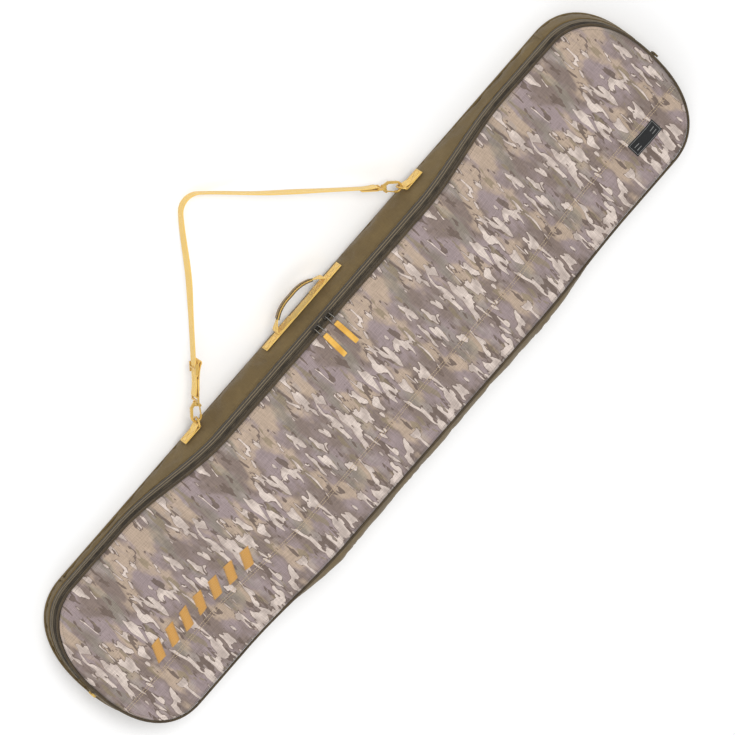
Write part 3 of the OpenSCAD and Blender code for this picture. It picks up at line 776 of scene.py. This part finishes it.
def under_webbing(points):
    """1 where a strip or ring tab is sewn on the handle side, falling to 0 round it."""
    x, y, z = points.T
    reach = np.minimum(np.abs(x) - STRIP_HALF, np.abs(np.abs(x) - RING_X - 0.023) - 0.022)
    away = np.maximum(np.maximum(reach, np.abs(z - WEB_Z) - WEB_W / 2), 0)
    return np.where(y > 0.12, 1 - ease(away / 0.016), 0)


def dent(obj):
    """Slow hollows and folds that a packed bag holds: they run down from the webbing and lean along the sides."""
    p = coordinates(obj)
    x, y, z = p.T
    free = np.clip(z / 0.02, 0, 1) * np.clip((front_z(x) - np.where(y > 0, ZIP_ZONE, 0.004) - z) / 0.02, 0, 1)
    slow = soft_noise(p * [1, 1, 0.5], 7.0, 1) * 0.0026
    fold = soft_noise(p @ np.array([[1, 0, 0], [0, 1, 0], [0.9, 0, 0.35]]), 26.0, 2) * 0.0012
    pull = np.zeros(len(p))
    for end in (-1, 1):
        for side, depth in ((-1, 0.0035), (1, 0.0045)):
            lean = end * RING_X + side * 0.048 + side * end * (z - WEB_Z) * 0.55
            pull -= depth * bell(x - lean, 0.016) * bell(z - WEB_Z - 0.012, 0.035)
        pull -= 0.0035 * bell(x - end * 0.128, 0.014) * bell(z - WEB_Z, 0.03)
    amount = (slow + fold + pull * (y > 0.1)) * free * (1 - under_webbing(p))
    move_to(obj, p + unit(p * [0.06, 1, 0]) * amount[:, None])


gusset = gusset_shell()


def inner_wall(name, st, low, drop, rows, inset, node_names):
    """Lining inside the gusset, inset from its outer face."""
    pts = wall(st, heights(st, low, drop, rows), -inset)
    sheet = Mesh().grid(pts, joined(along_wall(st), pts[..., 2], 0.0))
    place(thicken(sheet.object(name), 0.001), "bag", lining_cloth, node_names)


inner_wall("gusset_lining_zip_side", zip_side, 0.009, ZIP_ZONE, 10, 0.0130, ("gusset_lining",))
inner_wall("gusset_lining_hinge_side", hinge_side, 0.009, 0.012, 12, 0.0130, ())


# ---- Front: one padded cover that bends where the flap opens ----
def crown(x, y, half):
    """How far the padding lifts the front above its edges, with a hollow along the seam."""
    v = np.clip(np.abs(y) / half, 0, 1)
    end = (HALF_L - SHORTER - np.abs(x)) / 0.09
    return (0.0055 * (1 - v ** 2.6) - 0.0016 * bell(y - SEAM_V * half, 0.010)) * ease(end) ** 0.5


def front_cover():
    """The front's cloth, swollen and slack, before it gets its thickness."""
    x, y = front_grid(0.0)
    sheet = Mesh().grid(joined(x, y, front_z(x) + crown(x, y, front_w(x)) - 0.0002), joined(x, y, 0.0))
    obj = sheet.object("front_cover", normals=False)
    if obj.data.polygons[0].normal.z < 0:
        obj.data.flip_normals()
    held = np.zeros(x.shape)
    held[0], held[-1], held[:, 0], held[:, -1] = 1, 1, 1, 1
    held[:, int(round((SEAM_V + 1) / 2 * (x.shape[1] - 1)))] = 0.75
    settle(obj, held.ravel(), 0.010, 0.9, 0.0045)
    p = coordinates(obj)
    lift = soft_noise(p * [1, 0.7, 1], 9.0, 4) * 0.0022 + soft_noise(p * [1.6, 0.6, 1], 24.0, 5) * 0.0009
    away = np.clip(np.minimum(front_w(p[:, 0]) - np.abs(p[:, 1]), HALF_L - SHORTER - np.abs(p[:, 0])) / 0.03, 0, 1)
    near_pulls = bell(np.clip(np.abs(p[:, 0]) - 0.03, 0, 1), 0.03) * ease((p[:, 1] - 0.06) / 0.04)
    p[:, 2] += lift * away * (1 - near_pulls)
    move_to(obj, p)
    return obj


cover = front_cover()
cover_top = BVHTree.FromPolygons([v.co[:] for v in cover.data.vertices],
                                 [list(f.vertices) for f in cover.data.polygons])


def on_cover(x, y, lift=0.0):
    """Point on the front cover's outer face."""
    hit = cover_top.ray_cast(Vector((x, y, 0.3)), Vector((0, 0, -1)))[0]
    return [x, y, (hit.z if hit else float(front_z(x))) + lift]


thicken(cover, SHELL_T + FOAM_T - 0.0003)
place(cover, None, camo, ("front_panel", "flap_panel", "front_padding", "flap_padding"))
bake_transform(cover)


def cover_lining():
    """Lining under the front, deep enough to clear the hollows in it and to stay inside the fold."""
    x, y = front_grid(0.010, 44, 15, 60)
    z = front_z(x) - SHELL_T - FOAM_T - 0.0056 + 0.0004 * np.sin(x * 60) * np.sin(y * 50)
    sheet = Mesh().grid(joined(x, y, z), joined(x, y, 0.0))
    sheet = thicken(sheet.object("cover_lining"), 0.0009)
    return place(sheet, None, lining_cloth, ("front_lining", "flap_lining"))


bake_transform(cover_lining())


# ---- Back panel ----
def base_pad(name, low, thick, inset, puff, mat, node_names):
    """Flat pad in the shape of the base: it rests on the floor and is crowned inside."""
    x, y = front_grid(0.0, 28, 10, 90)
    k = (HALF_L - inset) / (HALF_L - SHORTER)
    x, y = x * k, y / front_w(x) * (BASE_W - inset)
    rim = np.clip(np.minimum(BASE_W - inset - np.abs(y), HALF_L - inset - np.abs(x)) / 0.012, 0, 1)
    under = low + 0.0012 * (1 - ease(rim))
    over = low + thick * (0.45 + 0.55 * ease(rim)) + puff * (1 - (y / BASE_W) ** 2) * ease(rim)
    pad = Mesh()
    pad.grid(joined(x, y, over), joined(x, y, 0.0))
    pad.grid(joined(x, y, under)[::-1], joined(x, y, 0.0)[::-1])
    obj = pad.object(name, normals=False)
    with edited(obj.data) as bm:
        bmesh.ops.bridge_loops(bm, edges=[e for e in bm.edges if e.is_boundary])
        bmesh.ops.recalc_face_normals(bm, faces=bm.faces)
        for f in bm.faces:
            f.smooth = True
    return place(obj, "bag", mat, node_names)


base_pad("back_pad", 0.0, 0.0072, 0.0008, 0.0015, back_cloth,
                   ("back_panel", "back_padding"))
base_pad("back_lining_cloth", 0.0090, 0.0009, 0.012, 0.0, lining_cloth, ("back_lining",))


# ---- Piping ----
def piping(name, path, radius, body, mat, node_names):
    return place(Mesh().tube(path, radius, 12, closed=True).object(name), body, mat, node_names)


base_path = joined(round_trip[:, 0] + round_trip[:, 1] * (END_R + 0.0018), round_trip[:, 2] * (BASE_W + 0.0018),
                   PIPING_R)
piping("base_piping", base_path, PIPING_R - 0.0004, "bag", olive, ("back_piping",))
front_path = edge(round_trip, 0.0034, -0.0006)
front_piping = piping("edge_piping", front_path, PIPING_R - 0.0005, None, piping_cloth,
                      ("front_piping", "flap_piping"))
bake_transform(front_piping)


# ---- Zip ----
zip_line = zip_side[3:-3]


def wall_band(name, drop_low, drop_high, rows, body, mat, node_name):
    """Strip of tape on the gusset between two drops below the front panel."""
    z = top_z(zip_line) - np.linspace(drop_low, drop_high, rows)[None]
    tape = Mesh().grid(wall(zip_line, z), joined(along_wall(zip_line), z - top_z(zip_line) + 0.02, 0.0))
    return place(thicken(tape.object(name), 0.0012), body, mat, (node_name,))


def wall_ribs(name, drops, radius, body, mat):
    """Cords that run along a tape, each at its own drop below the front panel."""
    ribs = Mesh()
    for drop in drops:
        ribs.tube(wall(zip_line, top_z(zip_line) - drop, 0.0002)[:, 0], radius, 6)
    return place(ribs.object(name), body, mat)


wall_band("zip_tape", ZIP_ZONE - 0.0003, COIL_DROP + 0.0008, 7, "bag", tape_cloth, "zip_tape_fixed")
wall_ribs("zip_tape_ribs", (0.0262, 0.0206), 0.0010, "bag", rib_cloth)
wall_band("flap_band_tape", COIL_DROP - 0.0008, 0.0025, 6, "flap", band_cloth, "flap_band")
wall_ribs("flap_band_stitching", (0.0100, 0.0068), 0.0006, "flap", band_cloth)


def coil(name, drop, body, node_name):
    """Row of coil elements: a bead whose section swells and shrinks with each element."""
    line = resample(wall(zip_line, top_z(zip_line) - drop, 0.0014)[:, 0], 0.0011)
    bead = Mesh().tube(line, np.where(np.arange(len(line)) % 2 == 0, 0.00125, 0.0008), 6)
    place(bead.object(name, smooth=False), body, coil_plastic, (node_name,))


coil("coil_fixed", COIL_DROP + 0.0021, "bag", "zip_coil_fixed")
coil("coil_flap", COIL_DROP - 0.0021, "flap", "zip_coil_flap")


# the gusset's cloth is turned under along the zip
fold_edge = Mesh().tube(wall(zip_line, top_z(zip_line) - ZIP_ZONE - 0.0012, 0.0006)[:, 0], 0.0013, 8)
place(fold_edge.object("gusset_fold"), "bag", olive)

seams = Mesh()
for row in round_trip[(np.abs(np.abs(round_trip[:, 0]) - STRAIGHT_X) < 0.0045) & (round_trip[:, 1] == 0)]:
    st = np.repeat(row[None], 14, 0)
    low_drop = ZIP_ZONE if row[2] > 0 else 0.004
    z = np.linspace(0.004, float(top_z(st)[0, 0]) - low_drop, 14)[:, None]
    seams.ribbon(wall(st, z, 0.0012)[:, 0], (1, 0, 0), 0.007, 0.0016)
place(seams.object("gusset_seams"), "bag", olive)


def zip_tab(name, end, mat, node):
    """Folded tab of cloth over the end of the zip."""
    lo, hi = (np.array(c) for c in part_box(node))
    centre = (lo + hi) / 2
    tab = Mesh()
    z = np.linspace(hi[2] - 0.003, lo[2] + 0.003, 12)
    bulge = 0.0012 * np.sin(np.linspace(0, math.pi, 12)) ** 0.5
    path = joined(centre[0] - end * 0.0022 + end * bulge, centre[1], z)
    tab.ribbon(path, (0, 1, 0), 0.010, 0.0018, 7)
    tab.ribbon(path - [end * 0.0020, 0, 0], (0, 1, 0), 0.0095, 0.0018, 7)
    place(tab.object(name), "bag", mat, (node,))
    sewn = Mesh()
    for z in (lo[2] + 0.006, hi[2] - 0.006):
        row = joined(centre[0] - end * 0.0009, centre[1] + np.array([-0.004, 0.004]), z)
        sewn.stitches(row, (end, 0, 0), 0.0028, 0.0020, 0.0004)
    place(sewn.object(name + "_stitching"), "bag", olive_thread)


zip_tab("zip_end_tail", -1, yellow_web, "zip_tab_tail")
zip_tab("zip_end_nose", 1, olive, "zip_tab_nose")


# ---- Sliders and pulls ----
SLIDER_X = 0.016
LEAN = math.radians(27)
COIL_Z = DEPTH - COIL_DROP
COIL_Y = float(wall(np.array([[0.0, 0.0, 1.0]]), np.array([[COIL_Z]]))[0, 0, 1])
CROWN_U = 0.0074
PULL_Y = COIL_Y + CROWN_U * math.cos(LEAN)
PULL_Z = COIL_Z + CROWN_U * math.sin(LEAN)


def slider(name, end, node):
    """Slider: two shaped plates round a post, with a crown for the pull."""
    turn = Matrix.Translation((end * SLIDER_X, COIL_Y, COIL_Z)) @ Matrix.Rotation(LEAN, 4, "X")
    m = Mesh()
    m.box((0, 0.0042, 0), (0.020, 0.0019, 0.0115), turn, 0.0008)
    m.box((end * 0.0065, 0.0041, 0), (0.0068, 0.0021, 0.0122), turn, 0.0009)
    for z in (-0.0052, 0.0052):
        m.box((0, 0.0031, z), (0.0170, 0.0024, 0.0010), turn, 0.0004)
    m.box((0, 0.0005, 0.0004), (0.0055, 0.0075, 0.0010), turn, 0.0003)
    m.box((0, -0.0027, 0.0026), (0.019, 0.0013, 0.0055), turn, 0.0005)
    # the crown is an arch
    arch = [[0.0062, 0.0050, 0], [0.0056, 0.0068, 0], [0.0030, 0.0088, 0]]
    arch = [[-x, y, z] for x, y, z in arch] + arch[::-1]
    world = np.array([turn @ Vector(p) for p in curve(arch, 0.0007)])
    m.ribbon(world, np.array(turn.to_3x3() @ Vector((0, 0, 1))), 0.0034, 0.0013, 4)
    obj = crisp(m.object(name), 40)
    return place(obj, "slider_" + name.split("_")[1], slider_paint, (node,))


def pull_wire(name, end, node):
    """Wire loop from the slider's crown to the tab."""
    x = end * SLIDER_X
    loop = [[0, PULL_Y + 0.0001, PULL_Z], [0.0040, PULL_Y, PULL_Z], [0.0049, PULL_Y - 0.002, PULL_Z + 0.0090],
            [0.0053, PULL_Y - 0.0065, DEPTH + 0.0052], [0.0056, 0.1670, DEPTH + 0.0042],
            [0.0056, 0.1605, DEPTH + 0.0032], [0.0040, 0.1578, DEPTH + 0.0030], [0, 0.1575, DEPTH + 0.0030]]
    half = curve(loop, 0.0012)
    path = np.concatenate([half, (half * [-1, 1, 1])[-2:0:-1]]) + [x, 0, 0]
    m = Mesh().tube(path, 0.00085, 10, closed=True)
    place(m.object(name), "pull_" + name.split("_")[2], wire_metal, (node,))


def pull_tab(name, end, node):
    """Moulded tab that lies on the front cover, with grip ribs and a rolled end round the wire."""
    lo, hi = (np.array(c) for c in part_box(node))
    x = end * SLIDER_X + np.linspace(0, 0.0015 * end, 60)
    y = np.linspace(hi[1] + 0.0035, lo[1], 60)
    lean = np.array([max(on_cover(a, b, 0.0021)[2], DEPTH + 0.0022) for a, b in zip(x, y)])
    z = np.minimum(lean, DEPTH + 0.0068)
    z = np.convolve(np.pad(z, 4, mode="edge"), np.ones(9) / 9, mode="valid")
    path = joined(x, y, z)
    s = run_length(path)
    round_end = 1 - 0.16 * np.clip((s - s[-1] + 0.0016) / 0.0016, 0, 1) ** 2
    m = Mesh().ribbon(path, (1, 0, 0), 0.0115 * round_end, 0.0030, 9)
    for centre in at_lengths(path, np.arange(0.013, 0.051, 0.0056)):
        m.box(centre, (0.0098, 0.0026, 0.0042), Matrix(), 0.0006)
    m.cylinder(path[4], 0.0025, 0.0106, 0.0006)
    return place(crisp(m.object(name), 50), "pull_" + name.split("_")[2], pull_plastic, (node,))


for end, tag in ((-1, "tail"), (1, "nose")):
    slider("slider_" + tag, end, "zip_slider_" + tag)
    pull_wire("pull_loop_" + tag, end, "pull_wire_" + tag)
    pull_tab("pull_grip_" + tag, end, "pull_tab_" + tag)


# ---- Carry handle ----
UPRIGHT = (0, 0, 1)

strip_line = joined(np.linspace(-STRIP_HALF, STRIP_HALF, 50), WALL_Y + WEB_T / 2, WEB_Z)
strip = Mesh().ribbon(strip_line, UPRIGHT, WEB_W, WEB_T, 9)
place(strip.object("handle_strip"), "bag", yellow_web, ("handle_base_strip",))


def handle_route():
    """From one sewn foot round the arch to the other, in plan."""
    half = [[0.030, 0.2020], [0.052, 0.2021], [0.0640, 0.2025], [0.0700, 0.2052], [0.0688, 0.2092],
            [0.0630, 0.2135], [0.0500, 0.2222], [0.0340, 0.2302], [0.0170, 0.2340], [0, 0.2342]]
    points = half + [[-x, y] for x, y in half[-2::-1]]
    return curve([[x, y, WEB_Z] for x, y in points], 0.0018)


def handle_lean(path):
    """Direction of the handle's width: upright at the feet, tipped outwards at the grip."""
    tip = 0.36 * ease((path[:, 1] - 0.208) / 0.014)
    return unit(joined(0.0, tip, 1.0))


handle_line = handle_route()
handle = Mesh().ribbon(handle_line, handle_lean(handle_line), WEB_W - 0.0004, WEB_T, 7)
handle = place(handle.object("handle_loop"), None, yellow_web, ("handle_web",))
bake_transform(handle)

GRIP_HALF = 0.050
grip_part = handle_line[(np.abs(handle_line[:, 0]) < GRIP_HALF) & (handle_line[:, 1] > 0.216)]
grip = Mesh()
grip_up = handle_lean(grip_part)
side_way = unit(np.cross(np.gradient(grip_part, axis=0), grip_up))
side_way *= np.sign(side_way[len(side_way) // 2, 1])
taper = 1 - 0.5 * np.clip(1 - (GRIP_HALF - np.abs(grip_part[:, 0])) / 0.010, 0, 1) ** 2
for way in (1, -1):
    grip.ribbon(grip_part + way * 0.0021 * side_way, grip_up, (WEB_W + 0.0012) * (0.94 + 0.06 * taper), 0.0022, 9)
grip = place(grip.object("handle_grip_cover"), None, grip_cloth, ("handle_grip",))
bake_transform(grip)

# whip stitches over both edges of the grip, and rows along its outer face
grip_sewn = Mesh()
for way in (-1, 1):
    for at in np.arange(0.004, run_length(grip_part)[-1] - 0.004, 0.0062):
        c = at_lengths(grip_part, at)
        n = unit(at_lengths(grip_part, at, side_way))
        rise = at_lengths(grip_part, at, grip_up)
        along = np.cross(n, rise)
        over = c + way * rise * (WEB_W / 2 + 0.0004)
        row = np.array([over - n * 0.0030 - along * 0.0006, over + n * 0.0030 + along * 0.0006])
        grip_sewn.stitches(row, way * rise, 0.0062, 0.0056, 0.00055)
for dz in (-0.0095, 0.0095):
    row = grip_part + side_way * 0.0033 + grip_up * dz
    grip_sewn.stitches(row, side_way, 0.0045, 0.0034, 0.0004)
grip_sewn = place(grip_sewn.object("grip_stitching"), None, gold_thread)
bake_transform(grip_sewn)


def box_stitch(mesh, x0, x1, z0, z1, y):
    """Sewn rectangle with a cross, on a face that looks along +Y."""
    corners = [(x0, z0), (x1, z0), (x1, z1), (x0, z1)]
    for i, j in ((0, 1), (1, 2), (2, 3), (3, 0), (0, 2), (1, 3)):
        (xa, za), (xb, zb) = corners[i], corners[j]
        mesh.stitches(np.array([[xa, y, za], [xb, y, zb]]), (0, 1, 0), 0.0032, 0.0024, 0.00035)


sewing = Mesh()
low, high = WEB_Z - 0.0098, WEB_Z + 0.0098
for way in (-1, 1):
    for near, far, y in ((0.033, 0.060, 0.2030), (0.078, 0.107, WALL_Y + WEB_T),
                         (RING_X + 0.012, RING_X + 0.040, WALL_Y + 0.0041)):
        box_stitch(sewing, *sorted((way * near, way * far)), low, high, y)
for dz in (-0.0105, 0.0105):
    row = joined(np.linspace(-0.030, 0.030, 8), WALL_Y + WEB_T, WEB_Z + dz)
    sewing.stitches(row, (0, 1, 0), 0.0034, 0.0025, 0.00035)
place(sewing.object("webbing_stitching"), "bag", brown_thread)


# ---- Ring tabs ----
def ring_tab(name, end, node):
    """Doubled webbing: sewn down, round the ring's bar, and back."""
    r = 0.0032
    turn = np.radians(np.linspace(-90, -270, 15))
    loop = joined(RING_X + r * np.cos(turn), BAR_Y + r * np.sin(turn))
    under = np.array([[0.0430, 0.0010], [0.020, 0.0010], [0.006, 0.0008]]) + [RING_X, WALL_Y]
    over = np.array([[0.006, 0.0060], [0.014, 0.0034], [0.026, 0.0032], [0.0425, 0.0032]]) + [RING_X, WALL_Y]
    points = np.concatenate([under, loop, over])
    path = joined(end * points[:, 0], points[:, 1], WEB_Z)
    web = Mesh().ribbon(resample(path, 0.0012), UPRIGHT, WEB_W, WEB_T * 0.95, 9)
    place(web.object(name), "bag", yellow_web, (node,))


ring_tab("ring_web_tail", -1, "ring_tab_tail")
ring_tab("ring_web_nose", 1, "ring_tab_nose")


# ---- Metal fittings: the frame's own shapes, with softened edges ----
pairs = [kind + end for kind in ("ring", "snap_hook", "hook_gate", "gate_pin", "swivel_eye")
         for end in ("_tail", "_nose")]
for node in pairs + ["strap_adjuster"]:
    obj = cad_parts[node]
    obj.data.materials.clear()
    obj.data.materials.append(wire_metal if node.startswith("gate_pin") else gold_paint)
    mod = obj.modifiers.new("rounded", "BEVEL")
    mod.width, mod.segments, mod.limit_method, mod.angle_limit = 0.0004, 2, "ANGLE", math.radians(40)


# ---- Shoulder strap ----
HOOK = np.array([RING_X - RING_R * math.cos(LEG_ANGLE), BAR_Y + RING_R * math.sin(LEG_ANGLE)])
APEX_R = 0.035
APEX_TOP = HOOK[1] + HOOK[0] * math.tan(LEG_ANGLE)
ARC_Y = APEX_TOP - APEX_R / math.cos(LEG_ANGLE)
ARC_X = APEX_R * math.sin(LEG_ANGLE)
LEG_L = math.hypot(HOOK[0] - ARC_X, ARC_Y + APEX_R * math.cos(LEG_ANGLE) - HOOK[1])
EYE_BAR = 0.0445         # from the hook's origin to the bar of its swivel eye
FALL_S = 0.262
LOW_Z = WEB_W / 2 + 0.0001


def leg(end, s, inward=0.0):
    """Points on a strap leg: s from the hook's origin, inward towards the middle of the strap's triangle."""
    c, n = math.cos(LEG_ANGLE), math.sin(LEG_ANGLE)
    z = WEB_Z + (LOW_Z - WEB_Z) * ease((s - FALL_S) / (LEG_L - FALL_S))
    return joined(end * (HOOK[0] - s * c - inward * n), HOOK[1] + s * n - inward * c, z)


def strap_route():
    """From round one swivel eye, over the apex, to round the other."""
    wrap = np.radians(np.linspace(100, 270, 14))
    wrap_r = 0.0030

    def eye_end(end):
        fold = leg(end, np.linspace(EYE_BAR + 0.034, EYE_BAR + 0.003, 14), 0.0034)
        around = leg(end, EYE_BAR + wrap_r * np.cos(wrap), wrap_r * np.sin(wrap))
        out = leg(end, EYE_BAR + np.array([0.004, 0.010, 0.018]), np.array([-0.0028, -0.0016, -0.0006]))
        return np.concatenate([fold, around, out])

    s = np.linspace(EYE_BAR + 0.026, LEG_L, 70)
    a = np.linspace(math.pi / 2 - LEG_ANGLE, math.pi / 2 + LEG_ANGLE, 40)[1:-1]
    arc = joined(APEX_R * np.cos(a), ARC_Y + APEX_R * np.sin(a), LOW_Z)
    return np.concatenate([eye_end(1), leg(1, s), arc, leg(-1, s[::-1]), eye_end(-1)[::-1]])


strap_line = resample(strap_route(), 0.0022)
strap_s = run_length(strap_line)
tilt = soft_noise(joined(strap_s, 0.0, 0.0), 7.0, 9)
tilt *= ease((strap_s - 0.10) / 0.10) * ease((strap_s[-1] - 0.20 - strap_s) / 0.10)
outwards = unit(strap_line * [1, 1, 0] - [0, 0.32, 0])
lean = -0.06 * ease((strap_s - 0.09) / 0.10) * ease((strap_s[-1] - 0.16 - strap_s) / 0.10)
strap_across = unit(joined(0.0, lean, 1.0) + outwards * (0.30 * tilt)[:, None])
strap = Mesh().ribbon(strap_line, strap_across, WEB_W - 0.0004, WEB_T, 9)

# second layer: from the adjuster's middle bar back to the hook, with a slack loop at the adjuster
back_s = np.array([0.0840, 0.0900, 0.0960, 0.1010, 0.1060, 0.1125, 0.1150, 0.1110, 0.1040, 0.0960])
back_in = np.array([0.0022, 0.0026, 0.0046, 0.0052, 0.0050, 0.0072, 0.0106, 0.0126, 0.0100, 0.0078])
more_s = np.array([0.088, 0.080, 0.072, 0.064, 0.056])
more_in = np.array([0.0064, 0.0056, 0.0050, 0.0046, 0.0046])
slack = curve(leg(-1, np.concatenate([back_s, more_s]), np.concatenate([back_in, more_in])), 0.0016)
strap.ribbon(slack, UPRIGHT, WEB_W - 0.001, WEB_T * 0.95, 9)
place(strap.object("shoulder_strap"), "strap", yellow_web, ("strap_webbing",))

strap_sewn = Mesh()
for end in (-1, 1):
    inner = leg(end, EYE_BAR, 0.01) - leg(end, EYE_BAR, 0.0)
    for s0 in (EYE_BAR + 0.009, EYE_BAR + 0.031):
        row = leg(end, s0, 0.0045) + np.array([[0, 0, -0.0095], [0, 0, 0.0095]])
        strap_sewn.stitches(row, inner, 0.0026, 0.0020, 0.00035)
    for dz in (-0.0098, 0.0098):
        row = leg(end, np.linspace(EYE_BAR + 0.009, EYE_BAR + 0.031, 5), 0.0045) + [0, 0, dz]
        strap_sewn.stitches(row, inner, 0.0030, 0.0023, 0.00035)
place(strap_sewn.object("strap_stitching"), "strap", brown_thread)


# ---- Seam, label and emblem on the fixed part of the front ----
seam = Mesh()
seam_x = np.linspace(-HALF_L + SHORTER + 0.010, HALF_L - SHORTER - 0.010, 330)
for shift in (-0.0030, 0.0030):
    line = np.array([on_cover(x, SEAM_V * float(front_w(x)) + shift, 0.0001) for x in seam_x])
    seam.stitches(line, (0, 0, 1), 0.0044, 0.0037, 0.00065)
place(seam.object("seam_stitching"), "bag", tan_thread)
edge_sewn = Mesh()
for side in (zip_side, hinge_side):
    line = np.array([on_cover(p[0], p[1], 0.0001) for p in edge(side[6:-6], -0.0055, 0)])
    edge_sewn.stitches(line, (0, 0, 1), 0.0042, 0.0030, 0.0003)
edge_sewn = place(edge_sewn.object("edge_stitching"), None, dark_thread)
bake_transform(edge_sewn)


def patch(mesh, x0, x1, y0, y1, lift, thick):
    """Thin patch that follows the cover."""
    xs, ys = np.linspace(x0, x1, 9), np.linspace(y0, y1, 12)
    pts = np.array([[on_cover(x, y, lift + thick) for x in xs] for y in ys])
    low = pts - [0, 0, thick]
    mesh.grid(pts, pts)
    for rim in ((pts[0], low[0]), (pts[-1], low[-1]), (pts[:, 0], low[:, 0]), (pts[:, -1], low[:, -1])):
        mesh.grid(np.stack(rim), np.stack(rim))


lo, hi = (np.array(c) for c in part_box("woven_label"))
label = Mesh()
patch(label, lo[0], hi[0], lo[1], hi[1], 0.0002, 0.0007)
place(label.object("woven_patch"), "bag", label_cloth, ("woven_label",))

# the label's border, and two plain bars at each of its ends
marks = Mesh()
line = 0.0008
(x0, y0), (x1, y1) = lo[:2] + 0.0022, hi[:2] - 0.0022
areas = [(x0, x1, y0, y0 + line), (x0, x1, y1 - line, y1), (x0, x0 + line, y0, y1), (x1 - line, x1, y0, y1)]
for x in (lo[0] + 0.008, hi[0] - 0.020):
    areas += [(x, x + 0.012, y, y + 0.0015) for y in (lo[1] + 0.009, lo[1] + 0.0165)]
for area in areas:
    patch(marks, *area, 0.0009, 0.0003)
place(marks.object("woven_patch_border"), "bag", label_mark)

# embroidered ridges: rows of satin stitches laid side by side across each one
EMBLEM_X, EMBLEM_Y, RIDGE_COUNT, RIDGE_W, RIDGE_H = -0.700, -0.060, 7, 0.041, 0.040
emblem = Mesh()
for i in range(RIDGE_COUNT):
    x0 = EMBLEM_X + i * RIDGE_W
    for k in range(46):
        t = k / 45
        y = EMBLEM_Y + 0.0006 + (RIDGE_H - 0.0012) * t
        left = x0 + RIDGE_W * 0.4 * t + 0.0005 * math.sin(k * 2.4 + i)
        across = np.linspace(left, left + RIDGE_W * 0.55, 7)
        row = np.array([on_cover(x, y + 0.0003 * math.sin(k * 5.1), 0.0004) for x in across])
        emblem.stitches(row, (0, 0, 1), 1.0, float(run_length(row)[-1]), 0.00062, 0.0002)
place(emblem.object("embroidery"), "bag", gold_thread, ("emblem",))
